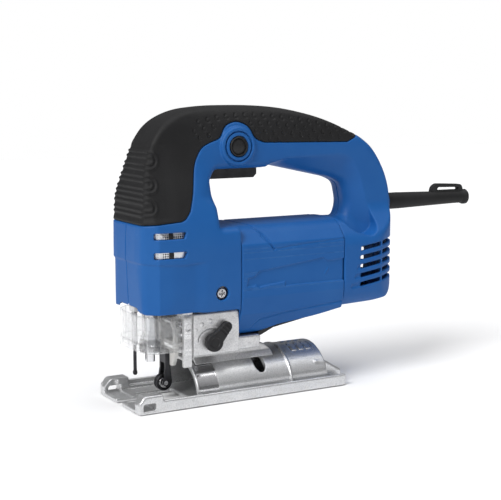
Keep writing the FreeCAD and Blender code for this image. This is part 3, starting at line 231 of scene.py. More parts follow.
finishes = {
    "blue": moulded("bluePlastic", (0.007, 0.09, 0.315, 1), (0.03, 0.15, 0.41, 1), rough=0.5),
    "rubber": moulded("softRubber", (0.009, 0.009, 0.0095, 1), (0.035, 0.035, 0.037, 1),
                      1500, 0.00008, 0.62, 0.25),
    "black": moulded("blackPlastic", (0.012, 0.012, 0.013, 1), (0.06, 0.06, 0.062, 1),
                     1600, 0.00005, 0.42, 0.3),
    "dark": moulded("darkPlastic", (0.03, 0.03, 0.033, 1), (0.08, 0.08, 0.085, 1),
                    1400, 0.00006, 0.5, 0.3),
    "white": moulded("whitePlastic", (0.78, 0.77, 0.74, 1), (0.9, 0.9, 0.88, 1), 1500, 0.00004, 0.34, 0.3),
    "carbon": moulded("pressedCarbon", (0.02, 0.02, 0.021, 1), (0.07, 0.07, 0.07, 1), 2600, 0.00008, 0.6, 0.3),
    "alloy": cast("castAlloy", (0.8, 0.8, 0.8, 1), (0.44, 0.44, 0.45, 1)),
    "plate": cast("plateAlloy", (0.8, 0.805, 0.81, 1), (0.48, 0.485, 0.49, 1), 1100, 0.34, 0.8),
    "steel": machined("machinedSteel", (0.6, 0.6, 0.61, 1), (0.33, 0.33, 0.34, 1)),
    "darkSteel": machined("blackenedSteel", (0.06, 0.06, 0.065, 1), (0.02, 0.02, 0.022, 1), 0.34),
    "bright": machined("groundSteel", (0.8, 0.8, 0.81, 1), (0.55, 0.55, 0.56, 1), 0.16, (60, 900, 60)),
    "bronze": machined("oiledBronze", (0.55, 0.36, 0.17, 1), (0.3, 0.17, 0.07, 1), 0.36),
    "lamination": machined("stackedSheet", (0.2, 0.2, 0.21, 1), (0.08, 0.08, 0.09, 1),
                           0.45, (2600, 30, 30), 0.00012),
    "copper": copperWire("enamelledCopper"),
    "clear": clearPlastic("clearPlastic"),
    "mesh": grilleMesh("punchedSheet"),
}
print("finishes", len(finishes))


# Shape maths: distances to a surface in millimetres, negative inside, on an even grid of points.

def rounded(corners, share=0.45, steps=6):
    # a closed outline with each corner drawn as an arc; a third number is that arc's own radius
    spots = [np.array(corner[:2], float) for corner in corners]
    line = []
    for i, here in enumerate(spots):
        before, after = spots[i - 1] - here, spots[(i + 1) % len(spots)] - here
        reach = share * min(np.linalg.norm(before), np.linalg.norm(after))
        before, after = before / np.linalg.norm(before), after / np.linalg.norm(after)
        half = math.acos(np.clip(before @ after, -1, 1)) / 2
        if len(corners[i]) > 2:
            reach = min(corners[i][2] / math.tan(half), reach)
        radius = reach * math.tan(half)
        toCentre = (before + after) / np.linalg.norm(before + after)
        centre = here + toCentre * math.hypot(reach, radius)
        start, end = here + before * reach - centre, here + after * reach - centre
        turn = math.atan2(start[0] * end[1] - start[1] * end[0], start @ end)
        for step in range(steps + 1):
            angle = turn * step / steps
            cosine, sine = math.cos(angle), math.sin(angle)
            line.append((centre[0] + start[0] * cosine - start[1] * sine,
                         centre[1] + start[0] * sine + start[1] * cosine))
    return line


def toLine(points, first, second, closed=True):
    # distance from a line of straight runs, signed when the line is closed
    away = np.full(np.broadcast(first, second).shape, 1e12, np.float32)
    inside = np.zeros(away.shape, bool)
    ends = points[1:] + points[:1] if closed else points[1:]
    for (ax, ay), (bx, by) in zip(points, ends):
        dx, dy = bx - ax, by - ay
        if dx == dy == 0:
            continue
        along = np.clip(((first - ax) * dx + (second - ay) * dy) / (dx * dx + dy * dy), 0, 1)
        away = np.minimum(away, (first - ax - along * dx) ** 2 + (second - ay - along * dy) ** 2)
        if dy:
            inside ^= ((ay > second) != (by > second)) & (first < ax + dx * (second - ay) / dy)
    away = np.sqrt(away)
    return np.where(inside, -away, away) if closed else away


def both(first, second, radius=0.0):
    # what is in both shapes, with the edge between them rounded
    if np.isscalar(radius) and not radius:
        return np.maximum(first, second)
    corner = np.sqrt(np.maximum(first + radius, 0) ** 2 + np.maximum(second + radius, 0) ** 2)
    return corner + np.minimum(np.maximum(first, second), -radius)


def either(first, second, radius=0.0):
    # what is in one shape or the other, with a fillet between them
    return -both(-first, -second, radius)


def without(shape, tool, radius=0.0):
    return both(shape, -tool, radius)


def ease(value, low, high):
    share = np.clip((value - low) / (high - low), 0, 1)
    return share * share * (3 - 2 * share)


class Block:
    # a block of space, sampled every step
    def __init__(self, low, high, step):
        self.low, self.step = np.array(low, float), step
        x, y, z = (np.arange(a, b + step, step, dtype=np.float32) for a, b in zip(low, high))
        self.x, self.y, self.z = x[:, None, None], y[None, :, None], z[None, None, :]

    def side(self, points, closed=True):
        return toLine(points, self.x[:, :, 0], self.z[0], closed)[:, None, :]

    def top(self, points):
        return toLine(points, self.x[:, :, 0], self.y[:, :, 0])[:, :, None]

    def across(self, points):
        return toLine(points, self.y[0], self.z[0])[None, :, :]

    def box(self, low, high, radius=0.0):
        shape = None
        for axis, a, b in zip((self.x, self.y, self.z), low, high):
            slab = np.abs(axis - (a + b) / 2) - (b - a) / 2
            shape = slab if shape is None else both(shape, slab, radius)
        return shape

    def rod(self, axis, centre, radius, low=-1e3, high=1e3, edge=0.0):
        # a round bar along x, y or z; centre holds the other two places
        run = {"x": self.x, "y": self.y, "z": self.z}[axis]
        first, second = {"x": (self.y, self.z), "y": (self.x, self.z), "z": (self.x, self.y)}[axis]
        fromSide = np.sqrt((first - centre[0]) ** 2 + (second - centre[1]) ** 2) - radius
        return both(fromSide, np.abs(run - (low + high) / 2) - (high - low) / 2, edge)

    def surface(self, shape):
        # corners in millimetres and quads of the surface
        full = np.broadcast_to(shape, (self.x.size, self.y.size, self.z.size))
        reach = 3 * self.step
        grid = openvdb.FloatGrid(background=reach)
        grid.copyFromArray(np.ascontiguousarray(np.clip(full, -reach, reach), dtype=np.float32))
        points, quads = grid.convertToQuads(0.0)
        return points * self.step + self.low, quads[:, ::-1]

    def piece(self, name, shape, look, body, stands=(), slot=None, paint=None):
        # meshes the surface and puts it on its body
        points, quads = self.surface(shape)
        return shown(name, points * millimetre, quads, look, body, stands, paint)


def shown(name, points, faces, look, body, stands=(), paint=None):
    mesh = bpy.data.meshes.new(name)
    mesh.vertices.add(len(points))
    mesh.vertices.foreach_set("co", np.asarray(points, np.float32).ravel())
    corners = faces.shape[1]
    mesh.loops.add(faces.size)
    mesh.loops.foreach_set("vertex_index", faces.ravel().astype(np.int32))
    mesh.polygons.add(len(faces))
    mesh.polygons.foreach_set("loop_start", np.arange(0, faces.size, corners, dtype=np.int32))
    mesh.update(calc_edges=True)
    mesh.validate()
    mesh.polygons.foreach_set("use_smooth", np.ones(len(mesh.polygons), bool))
    mesh.materials.append(finishes[look])
    if paint:
        # a second finish where the test on the face middles, in millimetres, is true
        mesh.materials.append(finishes[paint[0]])
        middles = points[faces].mean(axis=1).T / millimetre
        mesh.polygons.foreach_set("material_index", paint[1](*middles).astype(np.int32))
    thing = bpy.data.objects.new(name, mesh)
    bpy.context.scene.collection.objects.link(thing)
    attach(thing, body)
    if stands:
        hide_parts(*stands)
    print("piece", name, len(mesh.polygons), "faces")
    return thing


def mirrored(half):
    # both sides of a section given as (half width, height)
    return [(-corner[0],) + tuple(corner[1:]) for corner in half] + [tuple(corner) for corner in half[::-1]]


def bothSides(half):
    # both sides of a plan given as (x, half width)
    flipped = [(corner[0], -corner[1]) + tuple(corner[2:]) for corner in half]
    return flipped + [tuple(corner) for corner in half[::-1]]


# Shells: head, handle and rear cover, split down the middle.

shells = {
    "outline": [(-76.6, 64.5, 3), (-78, 100), (-76.5, 131), (-73.5, 155), (-67, 177), (-56, 193),
                (-40, 201.5), (-16, 205), (15, 205), (42, 202), (73, 194.5), (104, 180.8),
                (114, 173.5), (121, 165), (128, 153), (132, 140), (133, 118), (132.5, 76), (125, 63),
                (112, 59.3), (78, 57.5), (-6, 57.5, 1), (-6, 64.5, 1)],
    "hole": [(-19.5, 121.5, 2), (-22, 153, 4), (-17, 160.5, 4), (24, 160.5, 3), (28.5, 162.6, 2),
             (55, 157), (85, 150.5), (94, 146), (97, 131), (94, 121.5, 4)],
    # outer rim of the hollow round the hole
    "scoop": [(22, 160), (36, 166.8), (86, 168.4), (96.5, 166), (105.5, 152), (111.7, 126),
              (113.5, 114), (106, 108), (90, 112), (80, 130), (60, 150), (30, 155)],
    "plan": [(-78.4, 14, 5), (-76.4, 24, 9), (-67, 31.4, 1.5), (-46, 34.5, 30), (100, 34.5),
             (114, 32), (127, 25), (133.4, 14)],
    "head": [(31, 56), (33, 74), (33, 112), (30.5, 128), (25.5, 147), (20, 162), (18, 176), (17, 190),
             (13, 200), (6, 205.5)],
    "rear": [(22, 56), (31, 64), (33, 74), (33, 108), (24, 119), (17.5, 128), (17, 150), (18, 176),
             (17, 190), (13, 200), (6, 205.5)],
    "sectionTurn": -36, "wall": 3.0, "seam": 0.12, "rimEdge": 4.0, "holeEdge": 4.5, "lipEdge": 0.7,
    "gripGap": 0.3, "gripDeep": 1.8, "barrelGap": 0.3, "mouthHalf": 28.9,
    "bossRadius": 13.5, "bossOut": 20, "bossIn": 9, "bossGroove": 10.2, "buttonHole": 7.3,
    "collar": (10.3, 124, 139.5), "cordHole": 6.5, "caseWell": 4.9,
    "screwPost": (5.4, 8), "screwWell": (4.0, 9.5), "screwReach": 60,
    "hollowHalf": (9, 18),           # half width at the hole's edge and at the hollow's rim
    "sectionShift": 31, "sectionBlend": 30, "sectionHeights": (122, 145),
    "triggerCut": ((-18, -8, 140), (22, 8, 169)),
    "creaseHeight": 98.5, "creaseDepth": 1.0,
    "windows": (118.5, 105.5), "windowEnds": (-69.5, -46.6), "windowHalf": 2.2, "windowSlant": 1.6,
    "ventFront": 95.0, "ventTop": 99.8, "ventPitch": 6.55, "ventHalf": 1.6, "ventSlope": 0.14,
    "ventRib": 114.3, "ventDishes": (95, 93.0, 91.2, 89.2, 86.4),
}
gripLine = [(-90, 124.5, 1), (-62, 126.5), (-47, 127.5), (-42, 134, 8), (-38.5, 145), (-34, 166),
            (-28, 176), (-20, 179.5), (-13, 181.5), (-9.5, 190), (0, 193.5), (9.5, 190), (14, 181),
            (21, 178), (92, 176.8, 1), (100, 180.5, 1), (106, 190, 1), (106, 215, 1), (-90, 215, 1)]
shellStep = 0.62

_, _, buttonMiddle = spot("lock_button")
bossX, bossZ = buttonMiddle[0], buttonMiddle[2]
barrelLow, barrelHigh, _ = spot("motor_housing")
barrelRear, cordZ = 80.0, 129.7
shaftZ = 90                     # height of the motor's shaft
caseScrew = (-20, 77)
pivot = (-44, 55)               # the pendulum's pin, x and z
rollerPlace = (-50.4, 12)       # the guide roller's pin, x and z
handleScrews = [(-46, 186), (50, 187), (107, 160), (116, 70)]


def wholeBody(grid):
    # the outside of head, handle and rear cover as one solid
    side = grid.side(rounded(shells["outline"]))
    plan = grid.top(rounded(bothSides(shells["plan"])))
    head = grid.across(rounded(mirrored(shells["head"])))
    rear = grid.across(rounded(mirrored(shells["rear"])))
    turn = shells["sectionTurn"] + shells["sectionShift"] * (1 - ease(grid.z, *shells["sectionHeights"]))
    rearward = ease(grid.x, turn, turn + shells["sectionBlend"])
    section = head * (1 - rearward) + rear * rearward
    hole = grid.side(rounded(shells["hole"]))
    rim = grid.side(rounded(shells["scoop"]))
    rimEdge = 0.8 + (shells["rimEdge"] - 0.8) * ease(grid.z, 72, 95)
    body = both(both(side, section, rimEdge), plan, 1.5)
    atHole, atRim = shells["hollowHalf"]
    rearLimit = atHole + (atRim - atHole) * np.clip(hole / np.maximum(hole - rim, 0.1), 0, 1)
    width = np.abs(grid.y)
    body = without(body, both(rim, rearLimit - width), 0.8)
    body = without(body, hole, shells["holeEdge"])
    wall = shells["wall"]
    cavity = without(body + wall, both(rim - wall, rearLimit - wall - width))
    return body, cavity


def shellRegions(grid):
    body, cavity = wholeBody(grid)
    lower = ease(shells["creaseHeight"] - grid.z + 0.05 * np.abs(grid.x + 50), -0.7, 0.7)
    ahead = 1 - ease(grid.x, -42, -30)
    body = body + shells["creaseDepth"] * lower * ahead
    return body, grid.side(rounded(gripLine)), cavity


def windowTool(grid):
    front, rear = shells["windowEnds"]
    half, slant = shells["windowHalf"], shells["windowSlant"]
    tool = None
    for height in shells["windows"]:
        line = [(front, height - half, 0.5), (rear - slant, height - half, 0.5), (rear, height + half, 0.5),
                (front, height + half, 0.5)]
        window = grid.side(rounded(line))
        tool = window if tool is None else np.minimum(tool, window)
    return tool


def ventTools(grid):
    # slots right through, and the shallow dish that each one starts from
    slots = dishes = None
    for i, dishFront in enumerate(shells["ventDishes"]):
        front, height = shells["ventFront"], shells["ventTop"] - shells["ventPitch"] * i
        drop = grid.z - height - shells["ventSlope"] * (grid.x - front)
        slot = both(np.abs(drop) - shells["ventHalf"], front - grid.x, 0.4)
        reach = np.maximum(dishFront + shells["ventHalf"] - grid.x, 0)
        dish = np.sqrt(drop ** 2 + reach ** 2) - shells["ventHalf"]
        dish = np.maximum(dish, grid.x - front - 3)
        slots = slot if slots is None else np.minimum(slots, slot)
        dishes = dish if dishes is None else np.minimum(dishes, dish)
    slots = both(slots, 14 - np.abs(grid.y))
    return without(slots, np.abs(grid.x - shells["ventRib"]) - 0.8, 0.3), dishes


def halfShell(name, node, sign):
    low = (-80, -0.6 if sign > 0 else -36, 42)
    high = (136, 36 if sign > 0 else 0.6, 207)
    grid = Block(low, high, shellStep)
    body, grip, cavity = shellRegions(grid)
    ring = np.sqrt((grid.x - bossX) ** 2 + (grid.z - bossZ) ** 2)
    edge = shells["lipEdge"]
    outside = either(without(body, grip - 0.05, edge), body + shells["gripDeep"])
    boss = both(ring - shells["bossRadius"], np.abs(grid.y) - shells["bossOut"], 1.6)
    outside = either(outside, both(boss, shells["bossIn"] - np.abs(grid.y)), 1.2)
    groove = both(np.abs(ring - shells["bossGroove"]) - 0.5, 18.2 - np.abs(grid.y), 0.2)
    slots, dishes = ventTools(grid)
    outside = outside + 0.7 * (1 - ease(dishes, -0.5, 0.3)) * (np.abs(grid.y) > 14)
    shape = without(outside, cavity)
    shape = either(shape, both(both(boss, shells["bossIn"] - np.abs(grid.y)), 7.4 - ring), 0.4)
    shape = without(shape, groove, 0.3)
    gap = shells["barrelGap"]
    middle = grid.box((barrelLow[0] - gap, -60, 20), (barrelRear + gap, 60, barrelHigh[2] + gap))
    shape = without(shape, middle, 0.8)
    window = windowTool(grid)
    shape = without(shape, window, 0.5)
    shape = without(shape, slots, 0.5)
    mouth = grid.top(rounded(bothSides(shells["plan"]))) + shells["wall"]
    mouth = np.maximum(mouth, np.abs(grid.y) - shells["mouthHalf"])
    mouth = both(mouth, grid.z - 70)
    shape = without(shape, np.maximum(mouth, grid.x - barrelLow[0]), 0.6)
    shape = without(shape, grid.box(*shells["triggerCut"]), 0.6)
    shape = without(shape, grid.rod("y", caseScrew, shells["caseWell"]), 0.5)
    if sign > 0:
        reach = shells["screwReach"]
        for place in handleScrews:
            shape = either(shape, both(grid.rod("y", place, *shells["screwPost"], reach), body + 0.5), 0.3)
            shape = without(shape, grid.rod("y", place, *shells["screwWell"], reach), 0.5)
    if sign < 0:
        shape = without(shape, both(ring - shells["buttonHole"], np.abs(grid.y + 20) - 12), 0.4)
    collar = grid.rod("x", (0, cordZ), *shells["collar"], 1.2)
    shape = either(shape, without(collar, body + shells["wall"]), 1.5)
    shape = without(shape, grid.rod("x", (0, cordZ), shells["cordHole"], 100, 170), 0.5)
    shape = both(shape, -sign * grid.y + shells["seam"], 0.5)
    return grid.piece(name, shape, "blue", "body", [node], "blue_plastic")


halfShell("leftShell", "left_half_shell", -1)
halfShell("rightShell", "right_half_shell", 1)


# Soft grip: rubber over the nose and the top of the handle, with ribs and small dimples.

grip = {
    "ribs": ((168.4, -67.3), (152.8, -69.8), (137.9, -72.0)),   # height and rear end of each loop
    "ribRings": (5.6, 2.3), "ribHalf": 1.0, "ribHeight": 0.9,
    "dimpleRows": 4, "dimplePitch": 7.4, "dimpleDrop": 5.2, "dimpleRadius": 1.45, "dimpleDepth": 0.8,
}


def softGrip():
    grid = Block((-80, -31, 121), (108, 31, 207), shellStep)
    body, line, _ = shellRegions(grid)
    # ribs: nested long loops laid round the nose
    ribs = 0
    for height, end in grip["ribs"]:
        past = np.maximum(grid.x - end, 0)
        fromAxis = np.sqrt((grid.z - height) ** 2 + past ** 2)
        for ring in grip["ribRings"]:
            away = np.abs(fromAxis - ring)
            ribs = np.maximum(ribs, 1 - ease(away, grip["ribHalf"] * 0.3, grip["ribHalf"] * 1.35))
    ribs = ribs * (1 - ease(grid.x, -58, -54))
    shape = body + (grip["ribHeight"] * (1 - ribs) * (1 - ease(grid.x, -60, -50))
                    * ease(grid.z, 127, 131) * (1 - ease(grid.z, 174, 180)))
    # dimples: staggered rows of small half moons along the handle
    dimples = np.zeros_like(grid.x * grid.z)
    for row in range(grip["dimpleRows"]):
        for i in range(-5, 14):
            x = grip["dimplePitch"] * (i + 0.5 * (row % 2)) + 1
            z = 197 - grip["dimpleDrop"] * row - 0.0016 * (x - 5) ** 2 * (1 if x > 5 else 2.2)
            if x < -34 or math.hypot(x - bossX, z - bossZ) < 18.5 or z < 179.5:
                continue
            away = np.sqrt((grid.x - x) ** 2 + (grid.z - z) ** 2)
            openSide = np.maximum(grid.x - x + (grid.z - z) * 0.5, 0)
            moon = np.abs(away - grip["dimpleRadius"]) + 0.9 * openSide
            dimples = np.maximum(dimples, 1 - ease(moon, 0.15, 0.95))
    shape = shape + grip["dimpleDepth"] * dimples
    shape = both(shape, line + shells["gripGap"], 0.9)
    shape = without(shape, body + shells["gripDeep"] - 0.05)
    return grid.piece("softGrip", shape, "rubber", "body", ["soft_grip"], "black_rubber")


softGrip()


# Motor housing: the middle barrel, with its creases, panel and lobe over the foot.

barrel = {
    "section": [(22, 43), (31, 60, 3), (33, 72, 6), (33, 109, 3), (23, 121.5)],
    "profile": [(-5, 121.5, 0.5), (80, 121.5, 0.5), (80, 57.5, 0.5), (59, 53.2), (28, 49.5),
                (15, 45, 2), (-5, 44, 2)],
    "panel": [(-1, 80.2), (0.1, 85.7), (5.5, 86.6), (9, 90), (61.5, 95.8), (65.3, 93.3), (90, 94.9), (90, 60),
              (30, 60), (30, 81.2), (13.4, 79.6), (9, 78.7), (6.2, 80.8), (3.3, 79.8)],
    "groove": [(7.6, 121.5), (14, 114.8), (21, 104.7)],
    "creases": [  # line and depth on the sides; a negative depth stands proud
        ([(4.8, 47.7), (11.2, 55.2), (31.7, 58.8), (80, 62.8)], 0.6),
        ([(12.4, 114.0), (21, 104.7), (50, 107), (81, 108.6)], 0.5),
        ([(63.9, 84.3), (66.2, 87.7)], -0.4)],
    "panelDepth": 0.9, "panelFrom": 78, "bore": 29.2, "relief": ((-10, -19, 47), (12, 19, 66)),
    "spokes": (78, 92), "spokeHalf": (30, 5), "spokeReach": 29.4, "seat": 13.4,
    "seatDepth": 84, "bearing": 11, "shaftHole": 6, "step": 0.5,
}


def motorHousing():
    grid = Block((-6, -34, 42), (93, 34, 123), barrel["step"])
    section = grid.across(rounded(mirrored(barrel["section"])))
    profile = grid.side(rounded(barrel["profile"]))
    shape = both(section, profile, 0.8)
    panel = grid.side(barrel["panel"])
    onSide = ease(np.abs(grid.y), 24, 27)
    depth = barrel["panelDepth"]
    shape = shape + depth * (1 - ease(panel, -0.35, 0.35)) * onSide * (grid.z > barrel["panelFrom"])
    groove = grid.side(barrel["groove"], closed=False)
    shape = shape + 1.0 * (1 - ease(groove, 0.3, 0.9))
    for line, depth in barrel["creases"]:
        crease = grid.side(line, closed=False)
        shape = shape + depth * (1 - ease(crease, 0.2, 0.9)) * onSide
    shaft = (0, shaftZ)
    shape = without(shape, grid.rod("x", shaft, barrel["bore"]))
    shape = without(shape, grid.box(*barrel["relief"]), 0.5)
    # rear spokes and the bearing seat that they carry
    fromShaft = np.sqrt(grid.y ** 2 + (grid.z - shaftZ) ** 2)
    front, rear = barrel["spokes"]
    long, thick = barrel["spokeHalf"]
    spokes = grid.box((front, -long, shaftZ - thick), (rear, long, shaftZ + thick))
    spokes = both(spokes, fromShaft - barrel["spokeReach"])
    spokes = either(spokes, grid.rod("x", shaft, barrel["seat"], front, rear, 0.6), 1.0)
    spokes = without(spokes, grid.rod("x", shaft, barrel["bearing"], barrel["seatDepth"], 120))
    spokes = without(spokes, fromShaft - barrel["shaftHole"])
    shape = either(shape, spokes)
    return grid.piece("motorBarrel", shape, "blue", "body", ["motor_housing"], "blue_plastic")


motorHousing()


# Base: sole with rolled rails, two prongs with fence slots, and the half-round dome with its arc slot.

base = {
    "step": 0.5,
    "tray": [(33.5, 0, 0.6), (33.5, 8.5, 1.5), (30.4, 8.5, 1.4), (30.2, 5, 0.4), (25.4, 5, 0.9),
             (24.6, 3, 0.6)],
    "traySide": [(-84, 0, 0.4), (-84, 9, 1), (84, 8.6, 4.2), (84, 0, 0.4)],
    "plan": [(-84, 33.5, 3.5), (84, 33.5, 4.5)],
    "prong": [(-84, 0, 0.5), (-84, 6.5, 2.5), (-80, 12.5, 4), (-66, 12.5, 1.5), (-64, 0, 0.5)],
    "tail": [(60, 1), (84, 1, 0.4), (84, 9.8, 1.4), (71, 17.6, 3), (60, 19, 2)],
    "domeRadius": 29.5, "domeEnds": (-37, 70), "flank": 27.3, "wall": 3.5,
    "rib": (38, 39.6), "ribHeight": 0.8, "track": (-36, -20), "trackDrop": 0.35,
    "slotX": 16, "slotHalf": 4.3, "slotEnd": 24.4, "slotFrom": 14.6, "tailHalf": 24,
    "padTurns": (-11, -2, 7), "padPlaces": (50, 56, 62), "padHalf": (3.2, 2.0, 1.3),
    "padField": (56, 9.5, 17), "padDeep": 0.8,
    "cuts": [  # lowest corner, highest corner, corner radius, radius of the cut's edge
        ((-90, -4.5, -5), (-60, 4.5, 20), 0, 0.8),             # blade slot between the prongs
        ((-66, -13, -5), (-38, 13, 20), 1.5, 0.7),             # opening round the blade
        ((-80.5, -40, 2.2), (-71.5, 40, 7), 0.8, 0.4),         # fence slots across the prongs
        ((-90, -26, 2.6), (-79, -12, 5.2), 0.5, 0.4),
        ((-90, 12, 2.6), (-79, 26, 5.2), 0.5, 0.4)],
    "boltCut": ((-14, -12, -5), (46, 12, 5), 2),
}


def basePlate():
    low, high, _ = spot("base_plate")
    grid = Block(low - 1, high + 1, base["step"])
    tray = both(grid.across(rounded(mirrored(base["tray"]))), grid.side(rounded(base["traySide"])), 0.8)
    tray = both(tray, grid.top(rounded(bothSides(base["plan"]))))
    prong = both(grid.side(rounded(base["prong"])), np.abs(grid.y) - 33.5, 1.6)
    front, rear = base["domeEnds"]
    radius = base["domeRadius"]
    around = np.sqrt(grid.y ** 2 + grid.z ** 2)
    trackFront, trackRear = base["track"]
    drop = base["trackDrop"] * (1 - ease(np.abs(grid.x - (trackFront + trackRear) / 2), 7.6, 8.2))
    dome = both(around - radius + drop, np.abs(grid.x - (front + rear) / 2) - (rear - front) / 2, 1.2)
    dome = both(dome, np.abs(grid.y) - base["flank"], 0.8)
    rib = grid.rod("x", (0, 0), radius + base["ribHeight"], *base["rib"], 0.4)
    tail = both(grid.side(rounded(base["tail"])), np.abs(grid.y) - base["tailHalf"], 1.8)
    shape = either(either(tray, prong, 1.0), either(either(dome, rib, 0.3), tail, 1.0), 0.2)
    # plain raised pads in a sunk field on the dome's rear top
    arc = radius * np.arctan2(grid.y, np.maximum(grid.z, 1))
    middle, half, wide = base["padField"]
    sunk = radius - base["padDeep"] - around
    field = both(both(np.abs(arc) - wide, np.abs(grid.x - middle) - half, 1.5), sunk)
    padWide, padLong, padShort = base["padHalf"]
    for turn in base["padTurns"]:
        for along in base["padPlaces"]:
            reach = padLong if (turn + along) % 2 else padShort
            pad = both(np.abs(arc - turn) - padWide, np.abs(grid.x - along) - reach, 0.4)
            field = without(field, pad, 0.2)
    shape = without(shape, field, 0.3)
    inside = both(both(around - radius + base["wall"], grid.x - rear + base["wall"], 2), 3 - grid.z, 1)
    shape = without(shape, inside, 0.5)
    for near, far, corner, edge in base["cuts"]:
        shape = without(shape, grid.box(near, far, corner), edge)
    past = np.maximum(np.abs(grid.y) - base["slotEnd"] + base["slotHalf"], 0)
    slot = np.sqrt((grid.x - base["slotX"]) ** 2 + past ** 2)
    shape = without(shape, both(slot - base["slotHalf"], base["slotFrom"] - grid.z), 0.6)
    shape = without(shape, grid.box(*base["boltCut"]), 0.5)
    shape = both(shape, grid.box(low, high))

    def isTrack(x, y, z):
        return (np.abs(x - (trackFront + trackRear) / 2) < 7.9) & (np.hypot(y, z) > radius - 1) & (z > 8)

    return grid.piece("basePlate", shape, "plate", "base", ["base_plate"], "cast_alloy",
                      ("bright", isTrack))


basePlate()

saddle = {
    "step": 0.35,
    "section": [(16.9, 24.6, 0.5), (13, 29.4, 0.6), (12.6, 34.5, 0.6)],
    "side": [(-33, 22, 0.5), (-33, 31.5, 1.5), (-30, 34.5, 1.5), (23, 34.5, 5), (30, 29, 3), (30, 22, 0.5)],
}


def bevelSaddle():
    low, high, _ = spot("bevel_bracket")
    grid = Block(low - 1, high + 1, saddle["step"])
    shape = both(grid.across(rounded(mirrored(saddle["section"]))), grid.side(rounded(saddle["side"])), 0.5)
    shape = without(shape, grid.rod("x", (0, 0), 29.8), 0.3)
    shape = without(shape, grid.rod("z", (16, 0), 4.2))
    shape = both(shape, 24.6 - grid.z)
    return grid.piece("bevelSaddle", shape, "alloy", "body", ["bevel_bracket"], "cast_alloy")


bevelSaddle()


# Gear casting: side plates, front posts and foot show below the head; the lugs and gear case are behind it.

casting = {
    "step": 0.5,
    "post": [(29, 27, 1.2), (25, 27, 1), (17, 34, 1.5), (17, 66), (29, 66)],
    "hub": (-26.5, 43.5),
    "arc": [(-38.2, 45), (-37.8, 47.9), (-35.2, 51), (-31.3, 53.2), (-27, 53.6), (-22.9, 52.4)],
    "marks": [((-38.9, 52.6), 0.8), ((-34.3, 56.2), 1.1), ((-28.1, 58), 1.4)],
    "gap": -41.3, "gearZ": 118, "caseRadius": 26.5, "plates": ((-41, -29, 34.5), (-5, 29, 64), 1.2),
    "frontWall": ((-48, -29, 64), (-41, 29, 80)), "rearWall": ((-12, -27.4, 63), (-5, 27.4, 109), 1),
    "cheeks": ((-48, -26, 63), (-5, 26, 104)), "cheeksInside": 20,
    "blocks": [  # lowest corner, highest corner, corner radius, fillet
        ((-70.5, -10.5, 64), (-47, 10.5, 80), 2, 1),            # lug of the lower bush
        ((-69, -9, 140), (-29.2, 9, 156), 1.5, 1),              # lug of the upper bush
        ((-73.9, -4, 64), (-69.5, 4, 69), 1, 0.5),              # socket of the wire guard
        ((-6, -25, 34.5), (14, 25, 43.7), 1.2, 0.6),            # foot
        ((13, -9, 34.5), (24, 9, 41.6), 1.2, 0.8)],
    "hollows": [  # a rod or a box, and the radius of the cut's edge
        ("rod", ("x", (0, 118), 26.5, -50, -28.2), 0),          # gear case
        ("box", ((-50, -25.5, 14.5), (-13, 25.5, 60.5), 1), 0),  # between the side plates
        ("box", ((-49, -17, 14), (-40, 17, 64)), 0.5),          # room for the stirrup
        ("box", ((-40.5, -12, 60), (-12, 12, 94)), 0),
        ("box", ((-46, -7, 83), (-12, 7, 96)), 0),
        ("rod", ("z", (-60, 0), 8, 62, 170), 0),                # bushes
        ("box", ((-72, -20, 80), (-43.5, 20, 148)), 0),         # room for the plunger's yoke
        ("rod", ("x", (0, 118), 4, -34, -20), 0),               # gear pin
        ("rod", ("x", (0, shaftZ), 11, -13, 0), 0),             # front bearing
        ("rod", ("z", (-71.5, 0), 1.2, 60, 90), 0),             # wire guard
        ("rod", ("y", (-26.5, 43.5), 3.55), 0.3),               # lever's shaft
        ("rod", ("y", pivot, 2.5), 0.3)],
    "screwHeads": (22.5, 49, 2.9, 2.3, 0.45),
}


